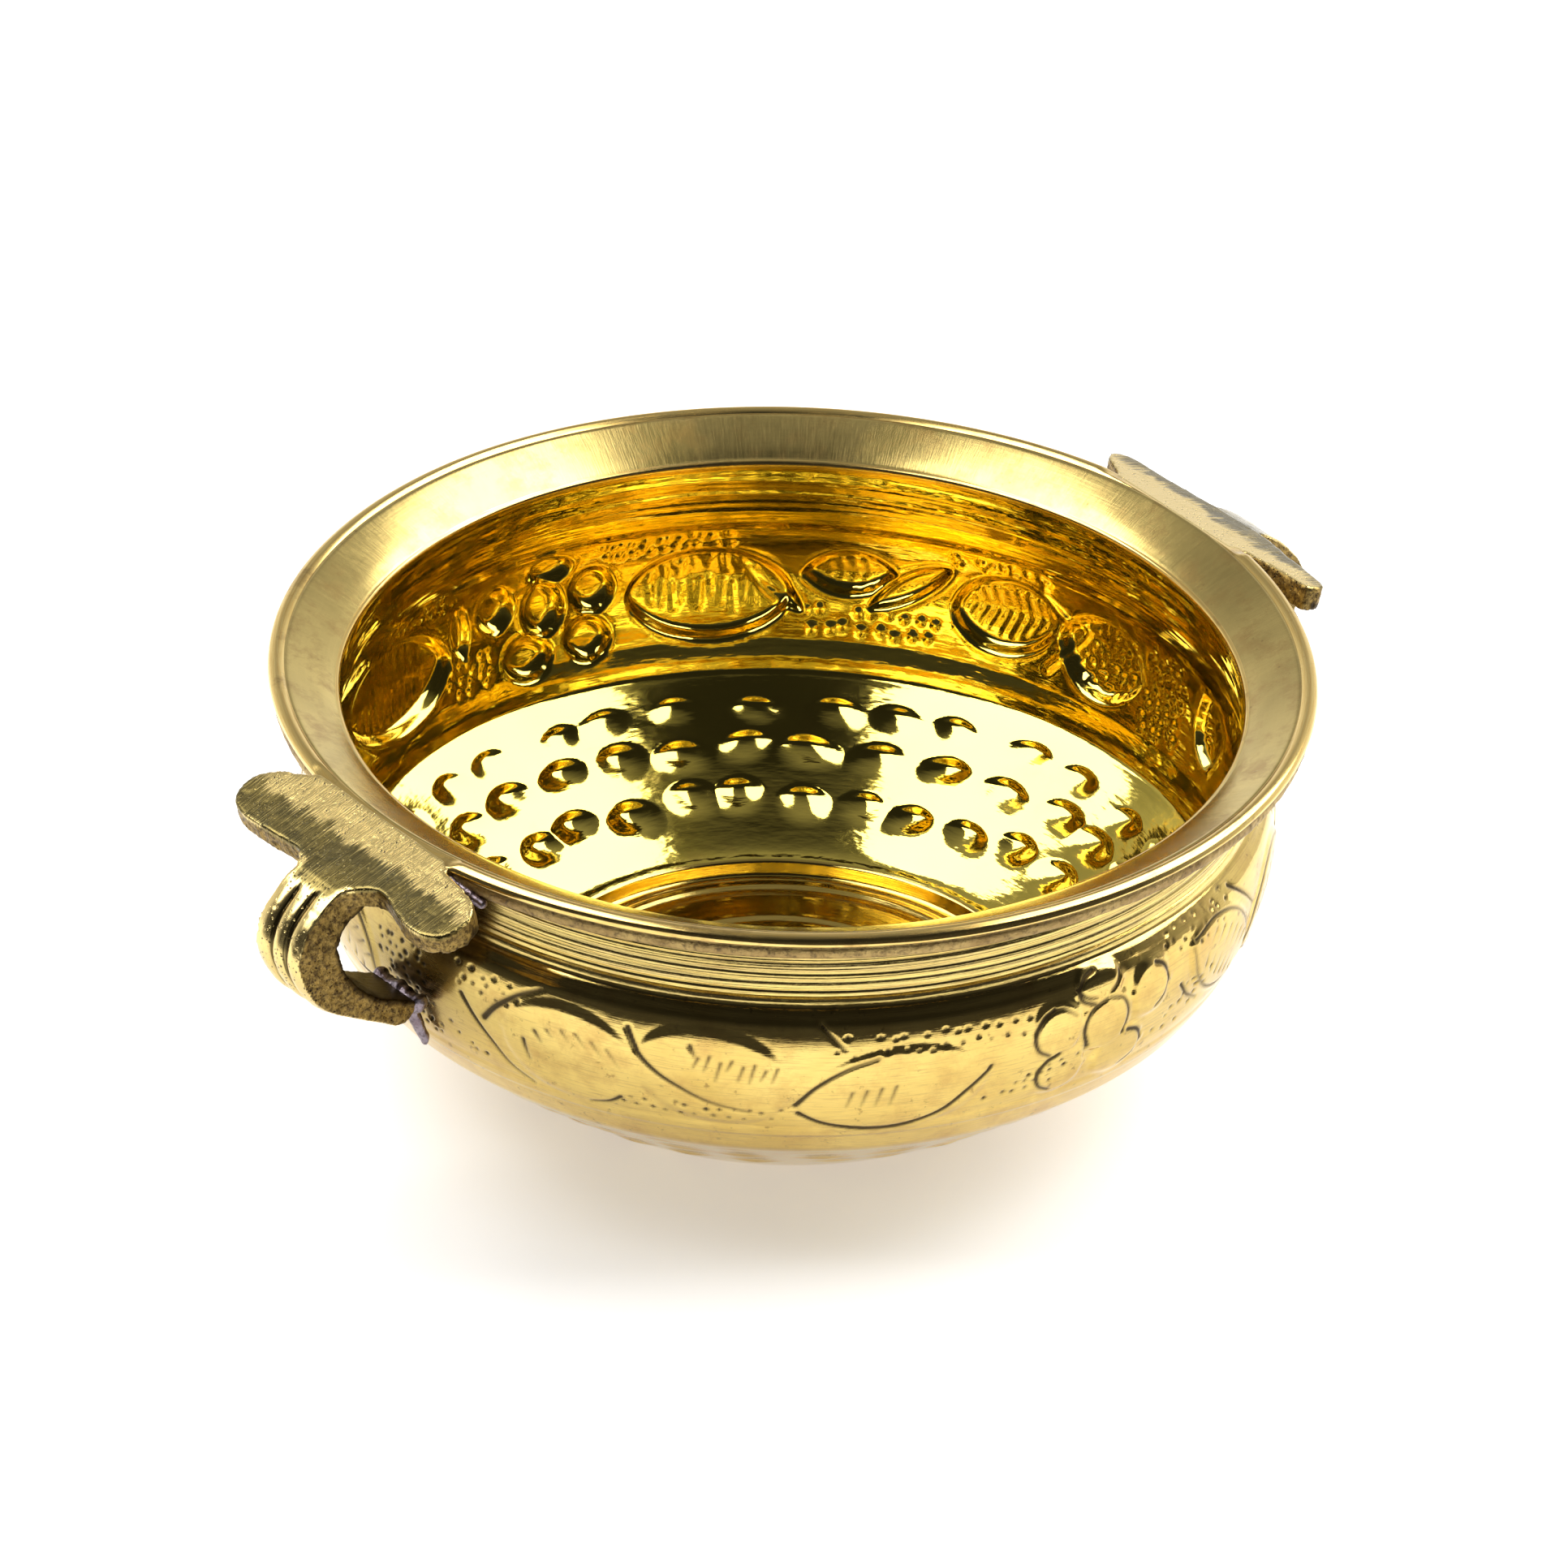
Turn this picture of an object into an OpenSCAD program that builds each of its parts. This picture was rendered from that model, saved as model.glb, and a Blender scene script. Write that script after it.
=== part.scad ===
// Brass urli bowl: a turned and chased shell with two cast loop handles brazed to its rim.
// Millimetres. Origin at the centre of the rest face, +Z up, handles along X.

/* [Bowl] */
// Outside diameter of the rim
rim_d = 180; // [176:1:190]
// Height from the rest face to the top of the rim
bowl_h = 75; // [73:0.5:80]
// Diameter of the mouth, at the inner edge of the rim
mouth_d = 155.4; // [150:0.2:157]
// Outside diameter of the neck
neck_d = 161; // [160:0.2:163]
// Outside diameter of the belly at its widest
belly_d = 167.8; // [166:0.2:171]
// Outside diameter of the corner under the belly
corner_d = 154.2; // [152:0.2:157]
// Diameter of the flat rest face
foot_d = 83; // [76:1:88]
// Diameter of the turned ring in the floor
floor_ring_d = 90.4; // [86:0.2:94]
// Thickness of the sheet in the belly
wall = 1.9; // [1.6:0.1:2.4]

/* [Rim] */
// Height of the rim's outer edge
lip_t = 3.4; // [3:0.1:4]
// Drop of the rim from its outer edge to the mouth
rim_drop = 4.7; // [4:0.1:5.4]
// Depth of the turned lines around the neck
line_depth = 0.25; // [0.1:0.05:0.4]

/* [Handles] */
// Length of the crossbar, along the rim
bar_l = 58; // [52:1:64]
// Distance from the bowl's axis to the crossbar's outer edge
bar_reach = 100.4; // [99:0.2:102]
// Thickness of the crossbar
bar_t = 4.3; // [3.6:0.1:5]
// Angle by which the crossbar falls away from the rim
bar_fall = 17; // [14:0.5:20]
// Width of the loop's strap
strap_w = 12; // [10:0.5:14]
// Depth of the two grooves along the strap
groove_depth = 0.7; // [0.3:0.1:1]
// Angle by which both handles sit off the bowl's diameter
skew = 1.2; // [0:0.1:3]

/* [Hidden] */
$fn = 96;
brass = "goldenrod";
cast_brass = "darkgoldenrod";
solder = "dimgray";
steps = 4;                          // straight pieces in each span of a smooth outline
rim_r = rim_d / 2;
mouth_r = mouth_d / 2;
neck_r = neck_d / 2;
belly_r = belly_d / 2;
corner_r = corner_d / 2;
foot_r = foot_d / 2;
floor_r = floor_ring_d / 2;
lip_z = bowl_h - 1.5;               // height of the rim's widest circle
mouth_z = lip_z + 0.9 - rim_drop;   // height of the mouth's edge
neck_z = bowl_h - 17.3;             // bottom of the turned neck
belly_z = bowl_h - 28;              // height of the belly's widest circle
corner_z = bowl_h - 49.5;           // height of the corner under the belly
floor_z = 2.8;                      // thickness of the floor at its middle
hinge_x = rim_r - 2.9;              // where the crossbar's slope leaves the rim's top

// A smooth outline through the points, with straight pieces of equal parameter.
function spline_point(a, b, c, d, t) =
    0.5 * (2 * b + (c - a) * t + (2 * a - 5 * b + 4 * c - d) * t * t
           + (3 * b - a - 3 * c + d) * t * t * t);
function smooth_line(p) = let (last = len(p) - 1) concat(
    [for (i = [0 : last - 1], s = [0 : steps - 1])
        spline_point(p[max(i - 1, 0)], p[i], p[i + 1], p[min(i + 2, last)], s / steps)],
    [p[last]]);

// Outside of the bowl: cone, corner, belly and shoulder, from the foot up.
belly_outside = smooth_line([
    [foot_r + 2.6, 0.9], [foot_r + 7, 3.4], [foot_r + 13, 7.6], [corner_r - 11.4, 16.2],
    [corner_r - 4.6, corner_z - 3.9], [corner_r - 0.9, corner_z - 0.9], [corner_r + 0.7, corner_z + 1.4],
    [corner_r + 2.6, corner_z + 5], [belly_r - 1.6, belly_z - 9.6], [belly_r - 0.4, belly_z - 4.6],
    [belly_r, belly_z + 0.6], [belly_r - 0.6, neck_z - 5.2], [neck_r + 1.5, neck_z - 2.7],
    [neck_r + 0.4, neck_z - 1.4]]);
// Inside of the belly, cone and floor, from the neck down.
belly_inside = smooth_line([
    [mouth_r + 0.2, neck_z + 2.6], [mouth_r + 1.3, neck_z - 1], [belly_r - wall - 1, neck_z - 3.6],
    [belly_r - wall - 0.2, neck_z - 7], [belly_r - wall, belly_z + 0.4],
    [belly_r - wall - 0.4, belly_z - 4.4], [belly_r - wall - 1.5, belly_z - 9.2],
    [corner_r + 0.7, corner_z + 5.2], [corner_r - 1.4, corner_z + 1.8], [corner_r - 3, corner_z - 0.7],
    [corner_r - 6.4, corner_z - 3.2], [corner_r - 12.8, 17.4], [floor_r + 7.6, 9],
    [floor_r + 2, 5.2], [floor_r, 4.2]]);
// Lip, from under the rim round its edge to the top of its slope.
lip_edge = smooth_line([
    [neck_r - 0.2, mouth_z - 6], [neck_r + 0.2, mouth_z - 3.2], [neck_r + 2.2, mouth_z - 1.3],
    [rim_r - 4, lip_z - lip_t], [rim_r - 1.6, lip_z - lip_t + 0.4], [rim_r - 0.3, lip_z - 1.4],
    [rim_r, lip_z], [rim_r - 0.6, lip_z + 1], [rim_r - 1.7, lip_z + 1.5], [rim_r - 2.9, lip_z + 0.9]]);
neck_lines = 6;
neck_outside = [for (i = [0 : neck_lines - 1], side = [0 : 3])
    [neck_r + 0.3 - 0.4 * i / neck_lines - (side == 1 || side == 2 ? line_depth : 0),
     neck_z + 1.2 * i + 0.25 * side]];

module shell_outline() {
    polygon(concat([[0, 0], [foot_r, 0]], belly_outside,
        [[neck_r + 0.3, neck_z - 1.1]], neck_outside, lip_edge,
        [[mouth_r + 0.7, mouth_z + 0.5], [mouth_r, mouth_z - 0.2], [mouth_r - 0.1, mouth_z - 3.5]],
        belly_inside,
        [[floor_r - 1.2, 3.7], [floor_r - 1.6, 3.3], [floor_r - 5, 3.2], [floor_r - 5.4, floor_z + 0.2],
         [floor_r * 0.6, floor_z - 0.2], [8, floor_z + 0.3], [0, floor_z + 0.5]]));
}

// Everything inside the bowl's outer surface and above its rim, for cutting what is brazed to it.
module bowl_envelope() {
    rotate_extrude() polygon(concat([[0, 0], [foot_r, 0]], belly_outside,
        [[neck_r + 0.3, neck_z - 1.1]], neck_outside, lip_edge,
        [[rim_r - 2.9, lip_z + 4], [0, lip_z + 4]]));
}

module bowl() {
    color(brass) rotate_extrude() shell_outline();
}

// Side outline of the loop, outside then inside, as distance from the axis and drop below the lip.
loop_outside = [[95.6, -4.6], [99, -4.4], [102.4, -4.5], [106.6, -6.9], [110.5, -10.6],
    [111.6, -14.5], [111.2, -18], [109.6, -21.6], [107, -25.2], [103.4, -28], [98, -31.1],
    [93, -33.8], [90.2, -35.3], [88, -35], [86.4, -33.2]];
loop_inside = [[86.4, -32], [88.8, -30.6], [93.8, -28.3], [97.8, -25.2], [101, -21], [102.8, -16.8],
    [103.1, -13.8], [101.6, -11.2], [98.6, -9.2], [95.6, -7.3], [92.6, -4.6]];

// The same outline with its outside lowered by depth along the curl, for the grooves.
function lowered(p, depth) = [for (i = [0 : len(p) - 1])
    let (ease = depth * sin(180 * min(1, max(0, (i - 2) / 8))),
         inward = [98, -16] - p[i])
    p[i] + ease * inward / norm(inward)];

module strap_slab(depth, from, to) {
    translate([0, to, lip_z]) rotate([90, 0, 0]) linear_extrude(to - from)
        polygon(concat(smooth_line(lowered(loop_outside, depth)), smooth_line(loop_inside)));
}

module strap() {
    groove_w = 0.9;
    half = strap_w / 2;
    groove_at = strap_w / 6;
    strap_slab(0, -half, -groove_at - groove_w / 2);
    strap_slab(groove_depth, -groove_at - groove_w / 2, -groove_at + groove_w / 2);
    strap_slab(0, -groove_at + groove_w / 2, groove_at - groove_w / 2);
    strap_slab(groove_depth, groove_at - groove_w / 2, groove_at + groove_w / 2);
    strap_slab(0, groove_at + groove_w / 2, half);
}

// Crossbar seen from above: two round-ended wings, a web to the rim and round inner corners.
module bar_outline() {
    wing_r = 5.5;
    wing_x = bar_reach - wing_r;
    corner_hole_r = 4.6;
    difference() {
        union() {
            translate([wing_x - wing_r, wing_r - bar_l / 2]) square([2 * wing_r, bar_l - 2 * wing_r]);
            translate([hinge_x - 0.4, -17]) square([8.4, 34]);
            translate([bar_reach - 1, -10.5]) square([5, 21]);
            for (side = [-1, 1]) translate([wing_x, side * (bar_l / 2 - wing_r)]) circle(wing_r);
        }
        for (side = [-1, 1])
            translate([bar_reach + 3, side * (strap_w / 2 + corner_hole_r - 0.4)]) circle(corner_hole_r);
        translate([bar_reach + 3, -20]) square([20, 40]);
    }
}

module crossbar() {
    translate([hinge_x, 0, lip_z + 0.6]) rotate([0, bar_fall, 0]) translate([-hinge_x, 0, -bar_t])
        linear_extrude(bar_t) bar_outline();
}

// One cast handle on the +X side: crossbar, web and loop, cut to sit on the bowl.
module handle_casting() {
    difference() {
        union() {
            crossbar();
            strap();
        }
        bowl_envelope();
    }
}

// Braze run into the corner under the crossbar, and into the wedge beside one wing.
module rim_braze_casting() {
    difference() {
        union() {
            rotate([0, 0, -14]) rotate_extrude(angle = 26)
                translate([rim_r - 0.6, lip_z - 5.6]) circle(2.3, $fn = 32);
            rotate([0, 0, -13.4]) rotate_extrude(angle = 4.4)
                translate([rim_r - 3, lip_z - 5]) square([3.7, 4.6]);
        }
        bowl_envelope();
        handle_casting();
    }
}

// Braze along the end of the loop's tail, with the run that it left down the belly.
module foot_braze_casting() {
    seam_l = strap_w - 2;
    difference() {
        union() {
            translate([85.2, seam_l / 2, lip_z - 33.2]) rotate([90, 0, 0]) cylinder(r = 2.4, h = seam_l, $fn = 32);
            translate([84.2, 2.4, lip_z - 34.4]) rotate([0, 0, -18]) rotate([0, 196, 0])
                cylinder(r1 = 2.2, r2 = 1.3, h = 7.5, $fn = 32);
        }
        bowl_envelope();
        handle_casting();
    }
}

module left() { rotate([0, 0, 180 + skew]) children(); }
module right() { rotate([0, 0, -skew]) children(); }

module left_handle() { color(cast_brass) left() handle_casting(); }
module right_handle() { color(cast_brass) right() handle_casting(); }
module left_rim_braze() { color(solder) left() rim_braze_casting(); }
module right_rim_braze() { color(solder) right() rim_braze_casting(); }
module left_foot_braze() { color(solder) left() foot_braze_casting(); }
module right_foot_braze() { color(solder) right() foot_braze_casting(); }

bowl();
left_handle();
right_handle();
left_rim_braze();
right_rim_braze();
left_foot_braze();
right_foot_braze();
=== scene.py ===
"""Looks of the brass urli bowl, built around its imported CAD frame. Lengths are in mm in the code."""
import math
import bpy
import numpy as np
from mathutils import Matrix, Vector


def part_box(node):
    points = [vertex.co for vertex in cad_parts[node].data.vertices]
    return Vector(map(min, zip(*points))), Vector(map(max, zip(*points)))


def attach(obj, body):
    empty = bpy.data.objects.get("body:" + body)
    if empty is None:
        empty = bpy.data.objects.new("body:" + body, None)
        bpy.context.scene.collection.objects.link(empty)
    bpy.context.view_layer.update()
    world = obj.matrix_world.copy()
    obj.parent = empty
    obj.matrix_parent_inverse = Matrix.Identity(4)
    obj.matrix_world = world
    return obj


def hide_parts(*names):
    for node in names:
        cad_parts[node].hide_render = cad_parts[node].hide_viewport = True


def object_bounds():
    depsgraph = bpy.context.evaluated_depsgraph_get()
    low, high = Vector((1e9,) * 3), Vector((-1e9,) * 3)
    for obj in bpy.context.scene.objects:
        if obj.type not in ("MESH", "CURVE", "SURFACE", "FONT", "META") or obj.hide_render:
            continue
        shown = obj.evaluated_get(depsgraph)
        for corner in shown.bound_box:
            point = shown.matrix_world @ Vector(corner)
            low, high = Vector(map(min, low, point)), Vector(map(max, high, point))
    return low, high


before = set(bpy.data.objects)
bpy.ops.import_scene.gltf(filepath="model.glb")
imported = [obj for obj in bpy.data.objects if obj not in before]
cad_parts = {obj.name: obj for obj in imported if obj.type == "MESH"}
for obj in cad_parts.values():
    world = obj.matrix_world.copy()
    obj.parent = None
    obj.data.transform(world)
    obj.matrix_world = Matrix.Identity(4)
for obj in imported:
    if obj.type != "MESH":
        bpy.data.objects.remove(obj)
cad_low, cad_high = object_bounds()
bowl_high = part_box("bowl")[1]

MM = 0.001
RIM_R = min(bowl_high.x, bowl_high.y) / MM
BOWL_H = bowl_high.z / MM
LIP_Z = BOWL_H - 1.5            # widest circle of the rim
CREASE_R = RIM_R - 2.9          # where the sloping rim meets its bead
CREASE_Z = LIP_Z + 0.9
MOUTH_R = RIM_R - 12.3
MOUTH_Z = CREASE_Z - 4.7
NECK_R = RIM_R - 9.5
BELLY_R = RIM_R - 6.1
CORNER_R = RIM_R - 12.9
NECK_Z = BOWL_H - 17.3
BELLY_Z = BOWL_H - 28
CORNER_Z = BOWL_H - 49.5
FOOT_R = 41.5
FLOOR_R = 45.6
WALL = 1.9
BAR_FALL = 17                   # slope of the crossbars, degrees
BAR_THICK = 4.4
SKEW = 1.2
LEFT_AT = 180 + SKEW            # azimuths of the handles, degrees
RIGHT_AT = -SKEW
STRAP_HALF = 5.9                # half the width of a handle's strap
ARC = math.pi / 180 * BELLY_R   # mm of belly for one degree
rng = np.random.default_rng(11)


# ---------------------------------------------------------------- small tools
def smoothstep(a, b, x):
    t = np.clip((x - a) / (b - a), 0, 1)
    return t * t * (3 - 2 * t)


def turn_gap(az, at):
    """Signed angle from at to az, in degrees."""
    return (az - at + 180) % 360 - 180


def value_noise(p, size, seed=0):
    """Smooth noise from -1 to 1 at points p, with lumps of about the given size."""
    q = np.asarray(p, float) / size
    base = np.floor(q).astype(np.int64)
    f = q - base
    f = f * f * (3 - 2 * f)
    total = np.zeros(len(q))
    for corner in range(8):
        off = np.array([corner & 1, corner >> 1 & 1, corner >> 2 & 1])
        i = base + off
        h = i[:, 0] * 73856093 ^ i[:, 1] * 19349663 ^ i[:, 2] * 83492791 ^ (seed + 7) * 2654435761
        h = (h ^ (h >> 13)) * 1274126177 & 0xFFFFFFFF
        h = (h ^ (h >> 16)) & 0xFFFF
        w = np.prod(np.where(off == 1, f, 1 - f), axis=1)
        total += w * (h / 32767.5 - 1)
    return total


def smooth_line(points, spacing):
    """Catmull-Rom curve through the points, cut into pieces of about the given spacing."""
    p = np.array(points, float)
    ends = np.vstack([2 * p[0] - p[1], p, 2 * p[-1] - p[-2]])
    out = []
    for i in range(len(p) - 1):
        a, b, c, d = ends[i:i + 4]
        n = max(2, int(round(np.linalg.norm(c - b) / spacing)))
        t = np.linspace(0, 1, n, endpoint=False)[:, None]
        out.append(0.5 * (2 * b + (c - a) * t + (2 * a - 5 * b + 4 * c - d) * t * t
                          + (3 * b - a - 3 * c + d) * t ** 3))
    out.append(p[-1:])
    return np.vstack(out)


def straight_line(points, spacing):
    p = np.array(points, float)
    out = []
    for b, c in zip(p[:-1], p[1:]):
        n = max(1, int(round(np.linalg.norm(c - b) / spacing)))
        out.append(b + (c - b) * np.linspace(0, 1, n, endpoint=False)[:, None])
    out.append(p[-1:])
    return np.vstack(out)


def link(obj):
    bpy.context.scene.collection.objects.link(obj)
    return obj


def make_object(name, verts_mm, faces, material_index):
    """A smooth mesh object from vertices in mm and faces with 3 or 4 corners (-1 pads a triangle)."""
    faces = np.asarray(faces, np.int64)
    sizes = (faces >= 0).sum(axis=1)
    mesh = bpy.data.meshes.new(name)
    mesh.vertices.add(len(verts_mm))
    mesh.vertices.foreach_set("co", (np.asarray(verts_mm, np.float32) * MM).ravel())
    corners = faces[faces >= 0]
    mesh.loops.add(len(corners))
    mesh.loops.foreach_set("vertex_index", corners.astype(np.int32))
    mesh.polygons.add(len(faces))
    starts = np.concatenate([[0], np.cumsum(sizes)[:-1]]).astype(np.int32)
    mesh.polygons.foreach_set("loop_start", starts)
    mesh.update(calc_edges=True)
    mesh.polygons.foreach_set("use_smooth", np.ones(len(faces), bool))
    mesh.polygons.foreach_set("material_index", np.asarray(material_index, np.int32))
    return link(bpy.data.objects.new(name, mesh))


def set_values(obj, name, values):
    """A value or a vector at every vertex, for the materials to read."""
    values = np.asarray(values, np.float32)
    kind, field = ("FLOAT_VECTOR", "vector") if values.ndim == 2 else ("FLOAT", "value")
    layer = obj.data.attributes.new(name, kind, "POINT")
    layer.data.foreach_set(field, values.ravel())


def read_mesh(obj):
    mesh = obj.data
    co = np.zeros(len(mesh.vertices) * 3, np.float32)
    mesh.vertices.foreach_get("co", co)
    no = np.zeros(len(mesh.vertices) * 3, np.float32)
    mesh.vertices.foreach_get("normal", no)
    return co.reshape(-1, 3).astype(float) / MM, no.reshape(-1, 3).astype(float)


def write_mesh(obj, co_mm):
    obj.data.vertices.foreach_set("co", (co_mm * MM).astype(np.float32).ravel())
    obj.data.update()


def turned_by(co, at):
    """Points in a handle's own frame, turned to its place on the rim."""
    c, s = math.cos(math.radians(at)), math.sin(math.radians(at))
    return np.column_stack([co[:, 0] * c - co[:, 1] * s, co[:, 0] * s + co[:, 1] * c, co[:, 2]])


def apply_modifiers(obj):
    dg = bpy.context.evaluated_depsgraph_get()
    mesh = bpy.data.meshes.new_from_object(obj.evaluated_get(dg))
    old = obj.data
    obj.modifiers.clear()
    obj.data = mesh
    bpy.data.meshes.remove(old)
    mesh.polygons.foreach_set("use_smooth", np.ones(len(mesh.polygons), bool))


# ---------------------------------------------------------------- chased belly
MAP_AZ = 3600                   # columns of the relief map, once round the belly
MAP_LOW, MAP_HIGH, MAP_STEP = 26.0, 60.0, 0.15
map_rows = int(round((MAP_HIGH - MAP_LOW) / MAP_STEP)) + 1
raised = np.zeros((map_rows, MAP_AZ))   # outside: bodies pushed out from within
cut = np.zeros((map_rows, MAP_AZ))      # outside: chased lines and punches
hollow = np.zeros((map_rows, MAP_AZ))   # inside: hollows of the pushed-out bodies
ridge = np.zeros((map_rows, MAP_AZ))    # inside: the back of the chased lines


def patch(az, h, reach):
    """Index of the map around a point, with distances from it in mm."""
    cols_half = int(math.ceil(reach / ARC / 360 * MAP_AZ))
    c0 = int(round(az / 360 * MAP_AZ))
    r0 = int(round((h - MAP_LOW) / MAP_STEP))
    rows_half = int(math.ceil(reach / MAP_STEP))
    rows = np.arange(max(0, r0 - rows_half), min(map_rows, r0 + rows_half + 1))
    cols = np.arange(c0 - cols_half, c0 + cols_half + 1)
    x = (cols * 360 / MAP_AZ - az) * ARC
    y = MAP_LOW + rows * MAP_STEP - h
    x, y = np.meshgrid(x, y)
    return np.ix_(rows, cols % MAP_AZ), x, y


def stroke(points, width=0.34, depth=0.3, fade=0.6, inside=0.22):
    """A chased line through (azimuth, height) points. It starts deep and fades towards its end."""
    pts = np.array(points, float)
    mid = pts.mean(axis=0)
    flat = np.column_stack([(pts[:, 0] - mid[0]) * ARC, pts[:, 1] - mid[1]])
    line = smooth_line(flat, 0.5) if len(flat) > 2 else straight_line(flat, 0.5)
    ix, x, y = patch(mid[0], mid[1], np.abs(line).max() + 3)
    best = np.full(x.shape, 1e9)
    along = np.zeros(x.shape)
    for i in range(len(line) - 1):
        a, b = line[i], line[i + 1]
        d = b - a
        t = np.clip(((x - a[0]) * d[0] + (y - a[1]) * d[1]) / (d @ d), 0, 1)
        dist = np.hypot(x - a[0] - t * d[0], y - a[1] - t * d[1])
        near = dist < best
        best = np.where(near, dist, best)
        along = np.where(near, (i + t) / (len(line) - 1), along)
    strength = 1 - fade * along
    w = width * (0.7 + 0.3 * strength)
    cut[ix] = np.maximum(cut[ix], depth * strength * np.exp(-(best / w) ** 2))
    ridge[ix] = np.maximum(ridge[ix], inside * strength * np.exp(-(best / 0.75) ** 2))


def punch(az, h, size=0.62, depth=0.26):
    """A square punch mark that stands on its corner."""
    ix, x, y = patch(az, h, 2.2)
    d = np.abs(x) * 0.9 + np.abs(y)
    cut[ix] = np.maximum(cut[ix], depth * np.clip((size - d) / 0.35, 0, 1))
    ridge[ix] = np.maximum(ridge[ix], 0.30 * np.exp(-(x * x + y * y) / 0.6))


def dots(az0, az1, low, high, gap=2.3, slant=0.0):
    """Rows of punch marks that fill a field."""
    rows = max(1, int(round((high - low) / (gap * 0.8))))
    for j in range(rows):
        h = low + (j + 0.5) * (high - low) / rows
        n = max(1, int(round((az1 - az0) * ARC / gap)))
        for i in range(n):
            az = az0 + (i + 0.5 + 0.5 * (j % 2)) * (az1 - az0) / n + slant * (h - low) / ARC
            if rng.random() < 0.9:
                punch(az + rng.normal(0, 0.3), h + rng.normal(0, 0.35), rng.uniform(0.5, 0.75),
                      rng.uniform(0.16, 0.3))


def body(az, h, half_l, half_w, tilt=0.0, point=0.75, lift=0.55, sink=0.95, edge=0.0, steep=0.0):
    """A leaf, or a petal with point=0.5: raised outside, hollow inside, with a chased edge where edge > 0.
    With steep > 0 the hollow has a flat bottom, and its sides take that many mm."""
    ix, x, y = patch(az, h, max(half_l, half_w) + 5)
    c, s = math.cos(math.radians(tilt)), math.sin(math.radians(tilt))
    u, v = x * c + y * s, -x * s + y * c
    t = np.clip(np.abs(u) / half_l, 0, 1)
    width = half_w * (1 - t * t) ** point
    d_side = (np.abs(v) - width) / np.sqrt(1 + (1.6 * half_w / half_l * t) ** 2)
    d = np.where(np.abs(u) < half_l, d_side, np.hypot(np.abs(u) - half_l, v))
    raised[ix] = np.maximum(raised[ix], lift * smoothstep(-1.7, 0.15, -d) ** 1.5 * (d < 1.7))
    dome = np.clip(-d / (steep if steep else 0.62 * half_w), 0, 1)
    hollow[ix] = np.maximum(hollow[ix], sink * (dome if steep else 1 - (1 - dome) ** 2))
    around = np.clip(1 - d / 3.2, 0, 1) * (d > 0)
    raised[ix] = np.where(raised[ix] > 0.02, raised[ix], np.minimum(raised[ix], -0.16 * around ** 2))
    if edge > 0:
        cut[ix] = np.maximum(cut[ix], edge * np.exp(-(d / 0.3) ** 2))
        ridge[ix] = np.maximum(ridge[ix], 0.8 * edge * np.exp(-(d / 0.8) ** 2))


def local_point(az, h, tilt, u, v):
    c, s = math.cos(math.radians(tilt)), math.sin(math.radians(tilt))
    return (az + (u * c - v * s) / ARC, h + u * s + v * c)


def veins(az, h, half_l, half_w, tilt, count):
    """Short strokes that fan from the middle of a leaf."""
    for i in range(count):
        u = half_l * (-0.55 + 1.1 * i / max(1, count - 1))
        reach = 0.62 * half_w * (1 - (u / half_l) ** 2) ** 0.7
        for side in (1, -1):
            a = local_point(az, h, tilt, u, side * 0.12 * half_w)
            b = local_point(az, h, tilt, u + 0.9, side * reach)
            stroke([b, a], width=0.26, depth=rng.uniform(0.14, 0.26), fade=0.8, inside=0.16)


def flower(az, h, lift=0.6, sink=1.25):
    """Round petals about a tall oval centre, with two small lobes on top."""
    body(az, h, 5.3, 4.8, 90, point=0.5, lift=lift, sink=sink)
    stroke([(az - 2.6, h - 3.8), (az - 3.3, h), (az - 2.4, h + 3.4), (az - 0.2, h + 4.7)],
           depth=0.42, fade=0.4)
    stroke([(az + 2.9, h - 4.0), (az + 3.3, h), (az + 2.3, h + 3.4), (az + 0.2, h + 4.7)],
           depth=0.42, fade=0.5)
    petals = [(-7.0, 1.4, 4.7, 4.6), (7.1, 2.5, 4.6, 4.2), (-5.9, -7.4, 4.2, 4.7), (3.0, -8.1, 4.1, 5.4),
              (-1.0, 7.2, 2.9, 4.6)]
    for dx, dy, tall, wide in petals:
        body(az + dx, h + dy, wide, tall, 0, point=0.5, lift=lift * 0.9, sink=sink * 0.95)
        side = -1 if dx < 0 else 1
        edge = [(az + dx + side * wide * math.cos(a) / ARC, h + dy + tall * math.sin(a))
                for a in (1.35, 0.8, 0.1, -0.6, -1.25)]
        stroke(edge, width=0.38, depth=0.42, fade=0.35)
    stroke([(az - 4.4, h + 8.0), (az - 3.2, h + 6.2), (az - 1.8, h + 5.6)], depth=0.38)
    stroke([(az + 2.0, h + 8.6), (az + 1.4, h + 6.8), (az + 0.2, h + 5.6)], depth=0.38)
    stroke([(az - 8.8, h + 5.4), (az - 6.6, h + 5.8), (az - 4.6, h + 3.6)], depth=0.32)


def leaf(az, h, half_l, half_w, tilt, count=6, lift=0.55, point=0.75):
    """A whole leaf: body, its two chased edges, and veins."""
    deep = 1.95 if lift > 0.6 else 1.2      # the bolder leaves are hollowed deeper
    body(az, h, half_l, half_w, tilt, point=point, lift=lift, sink=deep, steep=1.8)
    for side in (1, -1):
        pts = []
        for k in range(7):
            t = -0.98 + 1.9 * k / 6
            pts.append(local_point(az, h, tilt, half_l * t, side * half_w * max(0, 1 - t * t) ** point))
        if side < 0:
            pts.reverse()
        stroke(pts, depth=0.34, fade=0.55)
    if count:
        veins(az, h, half_l, half_w, tilt, count)


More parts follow.
